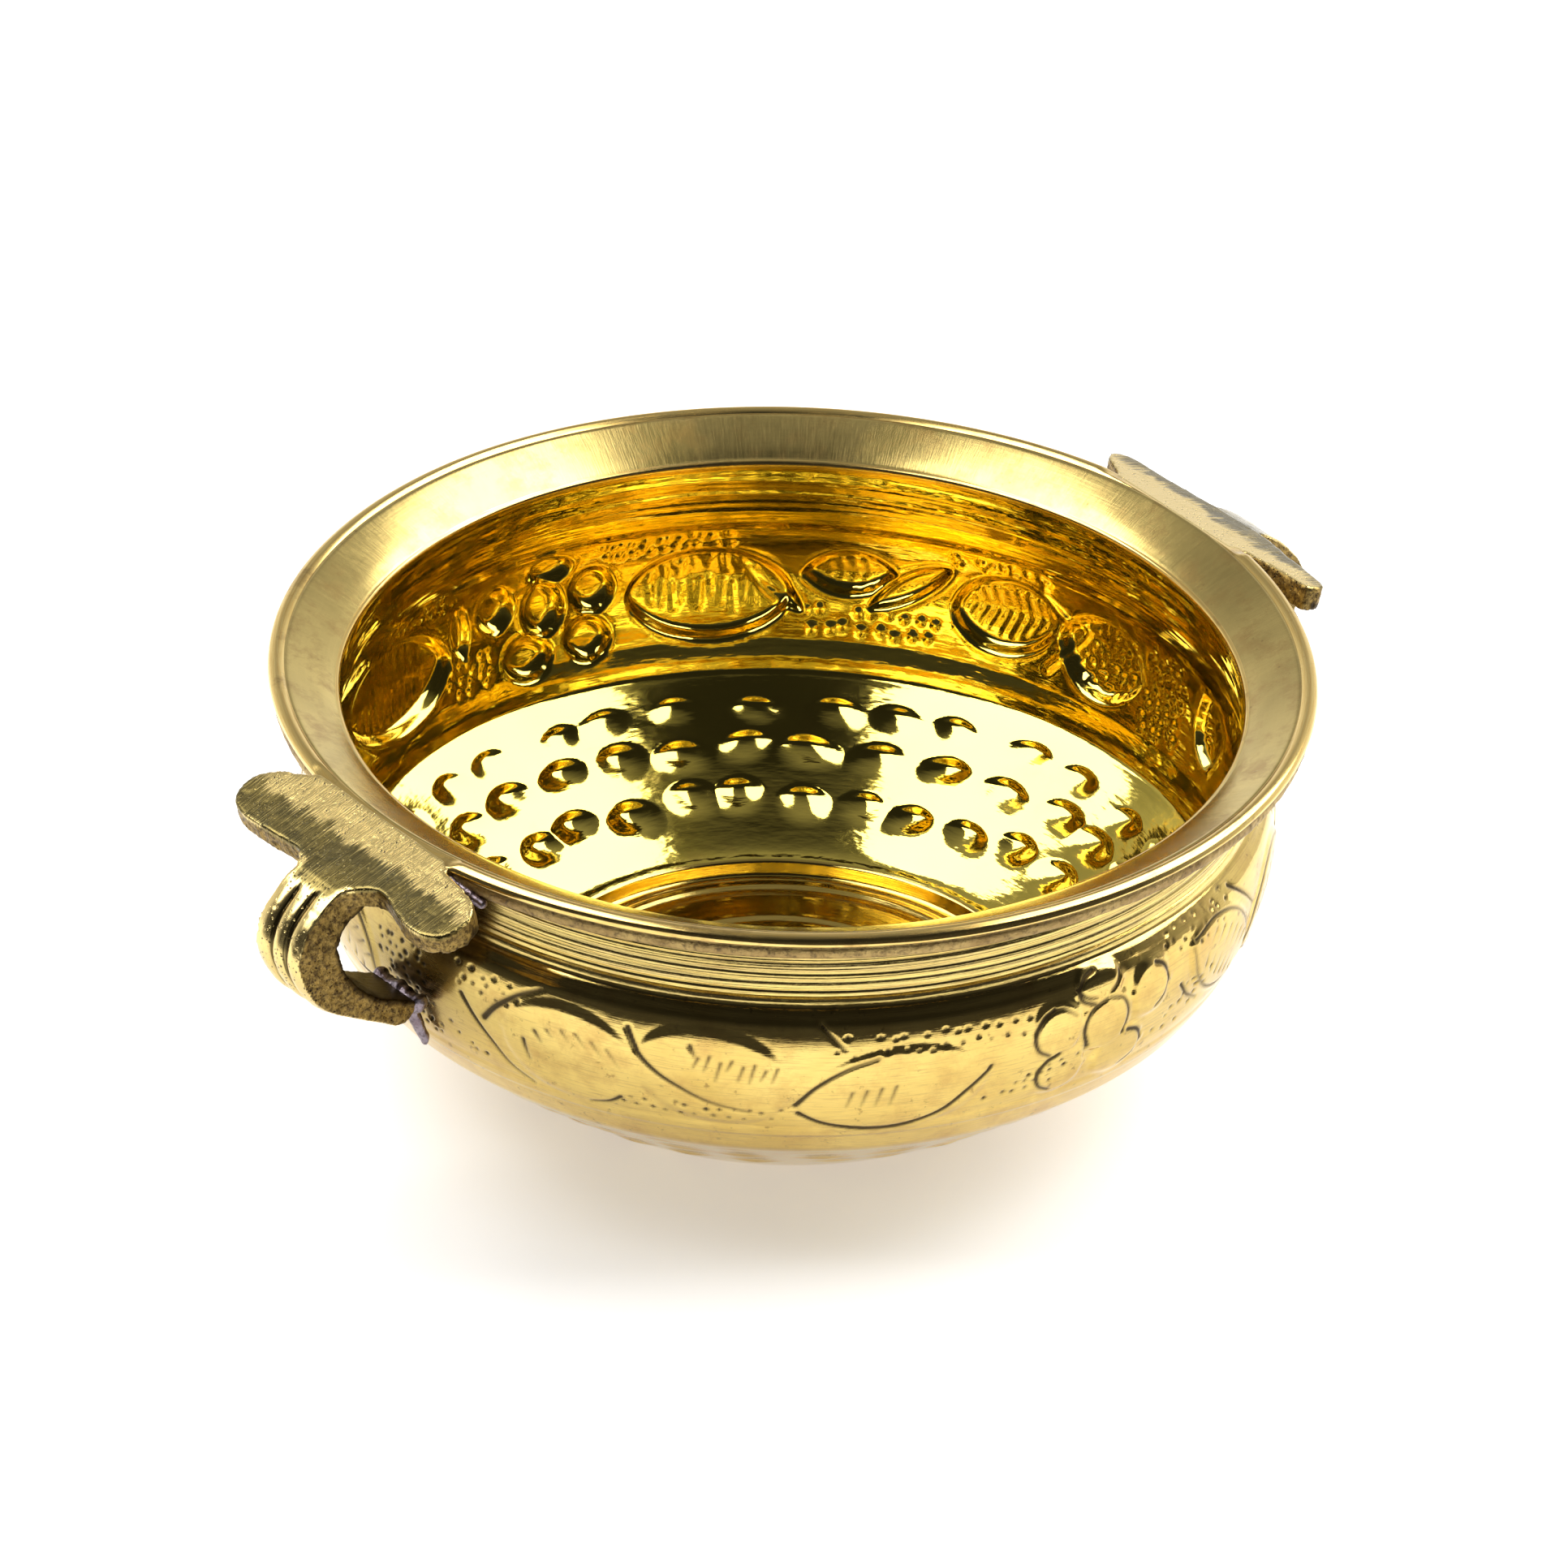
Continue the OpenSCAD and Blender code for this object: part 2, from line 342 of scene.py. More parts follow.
# The part of the belly that faces the viewer, from the left handle to the flower and on.
dots(-171.5, -162.0, 46.6, 52.4, gap=2.6)
dots(-175.0, -164.8, 33.0, 41.0, gap=2.6, slant=-2)
stroke([(-169.8, 46.0), (-168.0, 42.4), (-166.0, 38.8), (-163.4, 34.6), (-160.4, 32.0)],
       depth=0.42, fade=0.6)
body(-162.5, 47.8, 7.4, 1.5, 52, point=0.9, lift=-0.7, sink=0.2)
stroke([(-166.4, 43.0), (-164.6, 46.4), (-161.8, 50.0), (-158.6, 52.8)], width=0.5, depth=0.4, fade=0.5)
body(-154.6, 41.4, 13.0, 8.8, -8, point=0.55, lift=0.22, sink=0.9)
stroke([(-148.6, 35.0), (-150.2, 33.2), (-152.6, 32.0)], depth=0.4, fade=0.5)
stroke([(-160.8, 42.0), (-160.6, 40.2), (-160.2, 38.0)], width=0.4, depth=0.34)
stroke([(-159.2, 44.6), (-158.4, 42.8)], width=0.4, depth=0.3)
for k in range(5):
    at = (-157.6 + 1.9 * k, 45.6 + 0.9 * math.sin(k))
    stroke([at, (at[0] + 0.7 + 0.2 * k, at[1] - 1.2 - 0.5 * k)], width=0.3, depth=0.26 - 0.02 * k, fade=0.8)
body(-137.6, 42.4, 13.4, 8.8, -10, point=0.55, lift=0.22, sink=0.9)
stroke([(-147.6, 50.2), (-146.2, 45.8), (-144.2, 42.6), (-141.6, 40.0), (-138.0, 37.2), (-133.2, 35.6)],
       width=0.38, depth=0.48, fade=0.7)
stroke([(-140.2, 48.8), (-139.6, 46.8)], width=0.36, depth=0.34)
for k in range(8):
    top = 46.6 - 0.25 * k + 0.8 * (k % 2)
    stroke([(-139.2 + 1.3 * k, top), (-139.8 + 1.3 * k, top - 2.0 - 0.9 * (k % 3))], width=0.28,
           depth=0.26, fade=0.5)
dots(-149.4, -129.4, 33.0, 36.6, gap=2.7)
body(-116.4, 39.6, 16.4, 8.4, 6, point=0.6, lift=0.22, sink=0.9)
stroke([(-128.0, 37.4), (-125.6, 41.8), (-122.2, 45.4), (-118.6, 47.4)], width=0.38, depth=0.46, fade=0.6)
stroke([(-127.6, 35.6), (-124.6, 33.2), (-121.0, 31.8), (-117.4, 31.4), (-114.0, 32.0), (-110.4, 34.2),
        (-107.4, 38.2), (-104.8, 42.4)], width=0.38, depth=0.46, fade=0.2)
for k in range(4):
    stroke([(-121.4 + 1.7 * k, 40.4 + 0.3 * k), (-122.0 + 1.7 * k, 37.2)], width=0.3, depth=0.24, fade=0.6)
stroke([(-125.2, 53.6), (-122.4, 49.2)], width=0.34, depth=0.34)
dots(-124.0, -100.4, 47.4, 52.0, gap=2.6)
dots(-106.2, -99.8, 34.0, 40.4, gap=2.2, slant=2)
flower(-89.3, 44.6)
dots(-80.8, -75.0, 35.0, 43.5, slant=1)
dots(-81.5, -66.5, 49.4, 56.0, gap=2.6)
leaf(-67.0, 44.0, 12.4, 7.0, -30, 6)
stroke([(-76.2, 43.4), (-74.2, 39.8), (-71.2, 36.8)], depth=0.38)
stroke([(-64.6, 54.2), (-61.2, 50.2), (-57.6, 45.4)], depth=0.4)
leaf(-50.6, 42.0, 12.6, 7.4, 20, 6)
dots(-60.5, -54.0, 32.6, 38.0)
dots(-44.5, -37.0, 47.0, 53.0)
leaf(-31.6, 41.4, 12.8, 7.2, -14, 6)
dots(-28.0, -20.5, 46.0, 52.0)
# The part whose hollows show inside, from the right handle round to the far left.
leaf(-14.4, 42.6, 7.0, 5.0, 64, 5)
dots(-8.0, -1.0, 34.0, 50.0)
leaf(7.6, 42.0, 10.2, 7.6, 8, 0, lift=0.7, point=0.6)
dots(2.6, 12.2, 36.0, 48.0, gap=2.1)
stroke([(17.4, 49.4), (14.4, 46.6), (11.2, 44.6), (13.0, 40.4), (15.4, 36.2)],
       depth=0.4, fade=0.2, inside=0.5)
leaf(22.4, 43.2, 10.8, 7.4, -8, 0, lift=0.75, point=0.5)
for k in range(8):
    x = 27.6 - 1.5 * k
    tall = 5.0 - 0.25 * abs(k - 3.5) ** 1.6
    stroke([(x, 43.6 + 0.7 * tall), (x - 0.9, 44.2 - 0.3 * (k % 3))], width=0.3, depth=0.2, fade=0.5,
           inside=rng.uniform(0.1, 0.24))
    stroke([(x - 1.0, 42.6), (x, 42.4 - rng.uniform(0.35, 0.75) * tall)], width=0.3, depth=0.2, fade=0.5,
           inside=rng.uniform(0.1, 0.2))
dots(14.8, 29.6, 50.4, 53.2)
dots(29.4, 48.4, 33.8, 39.4, gap=3.0)
leaf(43.2, 45.4, 9.0, 4.6, -4, 5, lift=0.7)
body(35.4, 44.2, 9.2, 2.6, -33, point=0.7, lift=0.6, sink=1.5, edge=0.34)
body(53.0, 43.0, 8.0, 2.2, 42, point=0.7, lift=0.5, sink=1.3, edge=0.34)
leaf(61.0, 41.4, 15.6, 8.6, 2, 0, lift=0.85, point=0.5)
for k in range(11):
    x = 67.8 - 1.25 * k + rng.normal(0, 0.3)
    top = 47.4 - 0.09 * (k - 5) ** 2 + rng.normal(0, 0.6)
    stroke([(x, top), (x - 0.7 * (k % 3) + 0.4, top - 1.6 - 0.9 * (k % 2))], width=0.3, depth=0.2, fade=0.4,
           inside=rng.uniform(0.12, 0.3))
    top = 42.8 + rng.normal(0, 0.6)
    stroke([(x + 0.2, top), (x + 0.5 * (k % 2), top - 2.6 - 0.8 * (k % 3))], width=0.3, depth=0.2, fade=0.4,
           inside=rng.uniform(0.14, 0.34))
dots(57.5, 75.0, 50.0, 54.0, gap=2.1)
flower(83.4, 43.4, lift=0.9, sink=2.1)
body(96.4, 44.6, 5.0, 2.3, 88, point=0.6, lift=0.6, sink=1.3)
dots(90.8, 99.0, 33.0, 39.4, gap=2.2)
leaf(109.6, 41.6, 16.0, 8.4, 2, 9, lift=0.85, point=0.5)
dots(97.0, 121.0, 51.0, 54.0)
dots(121.5, 128.0, 33.4, 42.0)
leaf(133.2, 42.4, 12.6, 7.4, -16, 6)
dots(136.0, 143.5, 47.0, 53.0)
leaf(150.4, 41.6, 12.8, 7.2, 18, 6)
dots(157.5, 164.5, 33.0, 40.0)
leaf(169.6, 43.4, 9.0, 5.8, -40, 5)
dots(175.0, 184.0, 34.0, 50.0)


def soften(a, times):
    for _ in range(times):
        a = 0.25 * (np.roll(a, 1, 1) + np.roll(a, -1, 1)) + 0.5 * a
        up = np.vstack([a[1:], a[-1:]])
        down = np.vstack([a[:1], a[:-1]])
        a = 0.25 * (up + down) + 0.5 * a
    return a


out_map = soften(raised, 6) - soften(cut, 1)
cut_map = soften(cut, 1)
in_map = soften(hollow, 7) - soften(ridge, 3)


def from_map(m, az, z):
    """The map's value at azimuths and heights, between its cells."""
    c = (np.asarray(az) % 360) / 360 * MAP_AZ
    r = np.clip((z - MAP_LOW) / MAP_STEP, 0, map_rows - 1.001)
    c0, r0 = np.floor(c).astype(int), np.floor(r).astype(int)
    fc, fr = c - c0, r - r0
    c0, c1 = c0 % MAP_AZ, (c0 + 1) % MAP_AZ
    return ((m[r0, c0] * (1 - fc) + m[r0, c1] * fc) * (1 - fr)
            + (m[r0 + 1, c0] * (1 - fc) + m[r0 + 1, c1] * fc) * fr)


# ---------------------------------------------------------------- hammered lower wall
HAMMER_ROWS = [(71.4, 23.9, 55.4, 34, 6.0, 0.7), (64.4, 19.0, 56.6, 34, 6.2, 1.05),
               (56.6, 13.4, 58.0, 34, 6.0, 1.2)]
CONE_SLOPE = 0.596              # the wall's rise for each mm along it
HAMMER_SHOWS, HAMMER_DROP = 0.3, 1.7    # how much of a mark shows outside, and how much lower it does
hammer_marks = []
for row_r, row_z, start, count, wide, deep in HAMMER_ROWS:
    for k in range(count):
        hammer_marks.append((start + 360 * k / count + rng.normal(0, 0.7), row_z + rng.normal(0, 0.3), row_r,
                             wide * rng.uniform(0.88, 1.1), rng.uniform(1.5, 2.1), rng.uniform(5.4, 6.6),
                             deep * rng.uniform(0.72, 1.15), rng.uniform(-0.35, 0.35)))


def hammered(az, z, drop=0.0):
    """Depth of the hammer marks at one height, all round."""
    total = np.zeros(len(az))
    for at, mark_z, mark_r, wide, over, under, deep, lean in hammer_marks:
        y = (z - (mark_z - drop)) / CONE_SLOPE
        if y > over or y < -under - 2:
            continue
        x = turn_gap(az, at) * math.pi / 180 * mark_r + lean * y
        # A round mark: its upper edge is a steep arc, and its floor runs out gently below.
        y = y + 0.05 * x * x
        away = np.sqrt((x / wide) ** 2 + (y / np.where(y > 0, over, under)) ** 2)
        total = np.maximum(total, deep * (0.5 + 0.5 * np.cos(np.pi * np.clip(away, 0, 1))))
    return total


# ---------------------------------------------------------------- bowl outline
FLOOR_RINGS = [(43.0, 0.5, 0.35), (40.6, 0.9, 0.5), (37.6, 0.4, -0.2), (31.0, 0.5, 0.25),
               (29.4, 0.4, -0.15), (14.0, 0.7, 0.5), (11.6, 0.6, 0.35), (4.0, 1.6, 0.4)]
INSIDE_R = BELLY_R - WALL
outline = []                    # (r, z, tag, dense)


def run(tag, spacing, *points, line=smooth_line, dense=False):
    """Carries the outline on through more points, from where it ends."""
    start = [outline[-1][:2]] if outline else []
    outline.extend((r, z, tag, dense) for r, z in line(start + list(points), spacing)[len(start):])


run("foot", 1.6, (0.4, 0.5), (14, 0.5), (14.6, 0.25), (16.4, 0.25), (17, 0.55), (35, 0.35), (36.4, 0.0),
    (FOOT_R - 1.2, 0.0), (FOOT_R + 0.6, 0.25), line=straight_line)
run("cone", 0.6, (FOOT_R + 2.6, 0.9), (FOOT_R + 7, 3.4), (FOOT_R + 13, 7.6), (CORNER_R - 11.4, 16.2),
    (CORNER_R - 4.6, CORNER_Z - 3.9), (CORNER_R - 0.9, CORNER_Z - 0.9), (CORNER_R + 0.7, CORNER_Z + 1.4),
    (CORNER_R + 2.2, CORNER_Z + 4))
run("belly", 0.33, (CORNER_R + 4.2, CORNER_Z + 8.4), (BELLY_R - 1.6, BELLY_Z - 9.6),
    (BELLY_R - 0.4, BELLY_Z - 4.6), (BELLY_R, BELLY_Z + 0.6), (BELLY_R - 0.6, NECK_Z - 5.2),
    (BELLY_R - 1.7, NECK_Z - 3.2), dense=True)
run("belly", 0.3, (NECK_R + 1.1, NECK_Z - 2.3), (NECK_R + 0.5, NECK_Z - 1.7), (NECK_R + 0.35, NECK_Z - 1.2))
run("neck", 0.15, (NECK_R + 0.2, NECK_Z - 0.3), (NECK_R - 0.35, NECK_Z), (NECK_R + 0.15, NECK_Z + 0.35),
    (NECK_R - 0.1, NECK_Z + 8.2), line=straight_line)
run("neck", 0.3, (NECK_R + 0.2, NECK_Z + 9.4), (NECK_R + 1.0, NECK_Z + 10.8), (NECK_R + 2.8, NECK_Z + 12))
run("rough", 0.25, (RIM_R - 4.6, LIP_Z - 3.6), (RIM_R - 2.6, LIP_Z - 3.5), (RIM_R - 1.1, LIP_Z - 3.0),
    (RIM_R - 0.55, LIP_Z - 2.2), (RIM_R - 0.5, LIP_Z - 1.2), (RIM_R - 0.75, LIP_Z - 0.65))
run("bead", 0.16, (RIM_R - 0.3, LIP_Z - 0.35), (RIM_R, LIP_Z + 0.1), (RIM_R - 0.35, LIP_Z + 0.95),
    (RIM_R - 1.1, LIP_Z + 1.42), (RIM_R - 1.7, LIP_Z + 1.5), (RIM_R - 2.35, LIP_Z + 1.25),
    (CREASE_R, CREASE_Z - 0.05))
run("flange", 0.5, (CREASE_R - 0.5, CREASE_Z - 0.1), (CREASE_R - 3.6, CREASE_Z - 1.55),
    (CREASE_R - 6.6, CREASE_Z - 3.1), (MOUTH_R + 0.7, MOUTH_Z + 0.3))
run("edge", 0.14, (MOUTH_R + 0.15, MOUTH_Z), (MOUTH_R - 0.1, MOUTH_Z - 0.5), (MOUTH_R - 0.1, MOUTH_Z - 1.2))
run("inside", 0.4, (MOUTH_R - 0.2, MOUTH_Z - 4), (MOUTH_R - 0.1, NECK_Z + 4), (MOUTH_R + 0.3, NECK_Z + 1.6),
    (MOUTH_R + 1.3, NECK_Z - 1))
run("inside", 0.36, (INSIDE_R - 1, NECK_Z - 3.6), (INSIDE_R - 0.2, NECK_Z - 7), (INSIDE_R, BELLY_Z + 0.4),
    (INSIDE_R - 0.5, BELLY_Z - 4.6), (INSIDE_R - 1.7, BELLY_Z - 9.4), (INSIDE_R - 3.2, BELLY_Z - 14),
    dense=True)
run("inside", 0.4, (CORNER_R + 0.3, CORNER_Z + 4.6), (CORNER_R - 0.3, CORNER_Z + 2.9),
    (CORNER_R - 0.5, CORNER_Z + 2.3))
run("inside", 0.32, (CORNER_R - 1.0, CORNER_Z + 1.75), (CORNER_R - 3.4, CORNER_Z - 0.1),
    (CORNER_R - 12.8, 17.4), (FLOOR_R + 8.0, 10.4), (FLOOR_R + 3.0, 7.3), (FLOOR_R + 0.6, 6.4), dense=True)
run("floor", 0.2, (FLOOR_R, 6.1), (FLOOR_R - 0.3, 5.4), (FLOOR_R - 0.8, 4.2), (FLOOR_R - 1.4, 3.8))
for r, z in straight_line([outline[-1][:2], (0.5, 3.2)], 0.45)[1:]:
    for at, wide, tall in FLOOR_RINGS:
        z += tall * math.exp(-((r - at) / wide) ** 2)
    z += 0.5 * smoothstep(20, 40, r) + 0.02 * math.sin(r * 5.1) * math.sin(r * 1.7)
    outline.append((r, z, "floor", False))

# ---------------------------------------------------------------- bowl mesh
TRAVEL_UNIT = 0.01              # the materials read the way along the outline in hundreds of mm
METAL_OF = {"foot": 0, "neck": 0, "cone": 1, "belly": 1, "rough": 2, "bead": 3, "edge": 3, "flange": 4,
            "inside": 5, "floor": 6}
NECK_LINES = [(NECK_Z + a, w, d) for a, w, d in (
    (1.3, 0.16, 0.10), (1.9, 0.12, 0.06), (2.7, 0.22, 0.16), (3.3, 0.14, 0.10), (3.9, 0.12, 0.05),
    (4.5, 0.20, 0.15), (4.95, 0.16, 0.13), (5.4, 0.14, 0.12), (6.1, 0.12, 0.07), (6.7, 0.22, 0.14),
    (7.3, 0.14, 0.09), (8.1, 0.16, 0.11), (8.8, 0.12, 0.06), (9.5, 0.18, 0.09), (10.4, 0.14, 0.06))]


def neck_cut(az, z):
    total = np.zeros(len(az))
    for i, (at, wide, deep) in enumerate(NECK_LINES):
        wander = 0.10 * np.sin(np.radians(az * (1 + i % 3) + 47 * i))
        vary = 0.7 + 0.3 * np.sin(np.radians(az * (2 + i % 2) + 80 * i))
        total += deep * vary * np.exp(-((z - at - wander) / wide) ** 2)
    return total


def handle_plane(az, r, at):
    """Height of a handle's ground top above each point, and how far each point is along that handle."""
    gap = np.radians(turn_gap(az, at))
    x, y = r * np.cos(gap), r * np.sin(gap)
    return CREASE_Z - math.tan(math.radians(BAR_FALL)) * (x - CREASE_R), x, y


def in_band(z, full):
    """1 over the belly's chased band, up to the height full, and fading to 0 past its two ends."""
    return smoothstep(29.5, 32, z) * smoothstep(56.5, full, z)


def ring_relief(tag, az, rad, z, travel):
    """How far one ring of the bowl stands out from its outline, and how dark its dirt and painted shade make
    it, all round.
    """
    out = np.zeros(len(az))
    dirt_and_shade = np.zeros(len(az))
    if tag == "belly":
        out += from_map(out_map, az, z) * in_band(z, 54)
        dirt_and_shade += np.clip(from_map(cut_map, az, z) * 5, 0, 1.5)
        out += 0.16 * smoothstep(32.3, 31.0, z) * smoothstep(28.0, 30.0, z)
    if tag in ("cone", "belly") and z < 30:
        out += HAMMER_SHOWS * hammered(az, z, HAMMER_DROP)
    if tag == "inside" and z > 28:
        out -= from_map(in_map, az, z) * in_band(z, 53.5)
    if tag == "inside" and z < 29:
        out -= hammered(az, z)
    if tag == "inside" and z > 56:
        out += 0.045 * np.sin(z * 2.1 + 1.2 * np.sin(rad * 2))
        out += 0.03 * np.sin(z * 4.7 + 2 * np.sin(rad * 3 + 1))
    if tag == "neck":
        lines = neck_cut(az, z)
        out += 0.05 * math.sin(z * 3.7) + 0.03 * np.sin(z * 7.3 + 0.6 * np.sin(2 * rad)) - 1.3 * lines
        dirt_and_shade += np.clip(lines * 5, 0, 1)
    if tag == "rough":
        p = np.column_stack([RIM_R * np.cos(rad), RIM_R * np.sin(rad), np.full(len(az), travel)])
        out += 0.07 * value_noise(p, 0.9, 3) + 0.05 * value_noise(p, 2.6, 4)
    if tag in ("belly", "neck", "cone"):
        for at in (LEFT_AT, RIGHT_AT):      # brass scorched by the brazing torch, with painted shade of the handle over it
            dirt_and_shade += 0.7 * np.exp(-(turn_gap(az, at) / 13) ** 2 - ((z - 45) / 14) ** 2)
    return out, dirt_and_shade


def cut_for_handles(az, r, z):
    """Takes the rim down to each handle's ground top, where the crossbar lies against it."""
    for at, back, front in ((LEFT_AT, -21.5, 16), (RIGHT_AT, -15, 21)):
        plane, x, y = handle_plane(az, r, at)
        near = smoothstep(front + 1.6, front - 1.0, y) * smoothstep(back - 1.6, back + 1.0, y) * (x > 0)
        z = z + near * (np.minimum(z, plane - 0.05) - z)
    return z


def stitch(start, n, base, m):
    """Faces from a ring of n columns to the next, of m; one ring may have twice the other's columns."""
    c = np.arange(min(n, m))
    c1 = (c + 1) % len(c)
    if n == m:
        return [np.column_stack([start + c, start + c1, base + c1, base + c])]
    grows = n < m
    lo, hi = (start, base) if grows else (base, start)
    f0, f1, f2 = 2 * c, 2 * c + 1, (2 * c + 2) % max(n, m)
    pad = np.full(len(c), -1)
    three = [(lo + c, hi + f1, hi + f0), (lo + c, lo + c1, hi + f1), (lo + c1, hi + f2, hi + f1)]
    return [np.column_stack((a, b, e, pad) if grows else (a, e, b, pad)) for a, b, e in three]


def bowl_mesh():
    prof = np.array([o[:2] for o in outline])
    tangent = np.gradient(prof, axis=0)
    tangent /= np.linalg.norm(tangent, axis=1)[:, None]
    normal = np.column_stack([tangent[:, 1], -tangent[:, 0]])
    travel = np.concatenate([[0], np.cumsum(np.linalg.norm(np.diff(prof, axis=0), axis=1))])
    verts, turn, grime_and_shade, faces, metals = [], [], [], [], []
    start, last, base = 0, 0, 0
    for i, (r0, z0, tag, dense) in enumerate(outline):
        n = 1440 if dense else 720
        az = np.arange(n) * 360 / n
        rad = np.radians(az)
        out, dirt_and_shade = ring_relief(tag, az, rad, z0, travel[i])
        sway = 0.12 * np.sin(2 * rad + 1.0) + 0.07 * np.sin(5 * rad + 0.4) + 0.04 * np.sin(9 * rad)
        r = r0 + out * normal[i, 0] + sway * min(1.0, r0 / 60)
        z = z0 + out * normal[i, 1]
        if tag in ("bead", "rough", "flange"):
            z = cut_for_handles(az, r, z + 0.06 * np.sin(3 * rad + 2.0))
        r = np.minimum(r, RIM_R)
        verts.append(np.column_stack([r * np.cos(rad), r * np.sin(rad), np.clip(z, 0.0, BOWL_H)]))
        turn.append(np.column_stack([np.cos(rad), np.sin(rad), np.full(n, travel[i] * TRAVEL_UNIT)]))
        grime_and_shade.append(dirt_and_shade)
        if i:
            rows = stitch(start, last, base, n)
            faces += rows
            metals += [METAL_OF[tag]] * sum(len(row) for row in rows)
        start, last, base = base, n, base + n
    # Both ends close on the foot's centre, so the middle of the floor has a pit 1 mm wide.
    j = np.arange(last)
    hub = verts[0].mean(axis=0)[None]
    for ring, end, tag in ((0, 0, "foot"), (start, -1, "floor")):
        verts.append(hub)
        turn.append(np.array([[0, 0, travel[end] * TRAVEL_UNIT]]))
        grime_and_shade.append(np.zeros(1))
        a, b = ring + j, ring + (j + 1) % last
        row = (a, b) if end else (b, a)
        faces.append(np.column_stack((*row, np.full(last, base), np.full(last, -1))))
        metals += [METAL_OF[tag]] * last
        base += 1
    obj = make_object("bowl_shell", np.vstack(verts), np.vstack(faces), metals)
    set_values(obj, "turn", np.vstack(turn))
    # Darkening per vertex: dirt in the chased and turned lines, and painted shade round the handles.
    set_values(obj, "grime_and_shade", np.concatenate(grime_and_shade))
    return obj


# ---------------------------------------------------------------- handles
# Curled straps seen from the side, as (distance from the bowl's axis, height over the lip).
LOOP_LEFT = [[92, -0.62], [97, -2.15], [101, -3.4], [104, -4.5], [107, -6.6], [110.3, -10.2],
                [111.6, -14.5], [111.2, -18], [109.6, -21.6], [107, -25.2], [103.4, -28], [98, -31.1],
                [93, -33.8], [90.2, -35.3], [88, -35], [86.2, -33.2]]
LOOP_RIGHT = [[92, -0.9], [96, -2.2], [98.6, -2.9], [101, -4.1], [104, -6.1], [107, -8.8], [109.8, -12.2],
              [111.2, -15.6], [111.1, -18.4]] + LOOP_LEFT[8:]
LOOP_INSIDE = [[86.2, -31.8], [88.8, -30.6], [93.8, -28.3], [97.8, -25.2], [101, -21], [102.8, -16.8],
               [103.1, -13.8], [101.6, -11.2], [98.6, -9.2], [95, -6.6], [92, -4.4]]
# Crossbars seen from above, as (distance from the bowl's axis, along the rim).
BAR_LEFT = [[86.9, -20], [87.9, -20.9], [89.3, -23.2], [91.0, -26.6], [93.6, -28.8], [96.8, -28.9],
            [99.6, -27.2], [101.0, -23.4], [101.0, -18], [100.6, -12], [100.6, -8.6],
            [102.2, -6.6], [102.9, -5.2],
            [102.9, 5.2], [102.2, 6.2], [100.6, 7.6], [98.9, 10.2], [99.0, 13.2], [100.3, 17], [101.2, 21],
            [100.9, 25], [99.2, 28.0], [96.2, 29.0], [93.0, 28.2], [90.9, 25.4], [89.8, 20.6], [88.9, 15.8],
            [87.6, 14.2]]
BAR_RIGHT = [[87.0, -12], [88.9, -13.4], [89.8, -17], [90.6, -23], [90.8, -28.4], [92.2, -29.3],
             [94.2, -29.2], [95.6, -27.4], [96.6, -22], [97.4, -16], [98.6, -10.6], [99.0, -5.7],
             [98.9, 0], [98.7, 5.7],
             [98.0, 12], [97.5, 18], [97.4, 23], [97.0, 26.8], [94.8, 28.7], [92.0, 27.0], [90.0, 23.4],
             [88.7, 20.8], [87.4, 19.4], [86.9, 18.4]]


def prism(verts, faces, poly, place):
    """Adds a closed prism on an outline; place(p, side) gives the two ends."""
    n, base = len(poly), len(verts)
    for side in (0, 1):
        verts.extend(place(p, side) for p in poly)
    faces.append([base + i for i in range(n)][::-1])
    faces.append([base + n + i for i in range(n)])
    for i in range(n):
        j = (i + 1) % n
        faces.append([base + i, base + j, base + n + j, base + n + i])


def from_pydata(name, verts, faces):
    mesh = bpy.data.meshes.new(name)
    mesh.from_pydata([[c * MM for c in v] for v in verts], [], faces)
    return link(bpy.data.objects.new(name, mesh))


def remesh(obj, size, smooth):
    mod = obj.modifiers.new("one_skin", "REMESH")
    mod.mode = "VOXEL"
    mod.voxel_size = size * MM
    mod.use_smooth_shade = True
    mod = obj.modifiers.new("ease", "SMOOTH")
    mod.factor = 0.5
    mod.iterations = smooth
    apply_modifiers(obj)


def tilted(p, depth):
    """A point of the crossbar: p across its top, depth below it."""
    a = math.radians(BAR_FALL)
    x, z = p[0] - CREASE_R, -depth
    return (CREASE_R + x * math.cos(a) + z * math.sin(a), p[1],
            CREASE_Z - x * math.sin(a) + z * math.cos(a))


def nearest_on(line, x, z):
    """Distance from points to a line in the loop's plane, and how far along it that is."""
    best = np.full(len(x), 1e9)
    along = np.zeros(len(x))
    length = 0.0
    for a, b in zip(line[:-1], line[1:]):
        d = b - a
        l = np.linalg.norm(d)
        t = np.clip(((x - a[0]) * d[0] + (z - a[1]) * d[1]) / (l * l), 0, 1)
        dist = np.hypot(x - a[0] - t * d[0], z - a[1] - t * d[1])
        near = dist < best
        best = np.where(near, dist, best)
        along = np.where(near, length + t * l, along)
        length += l
    return best, along


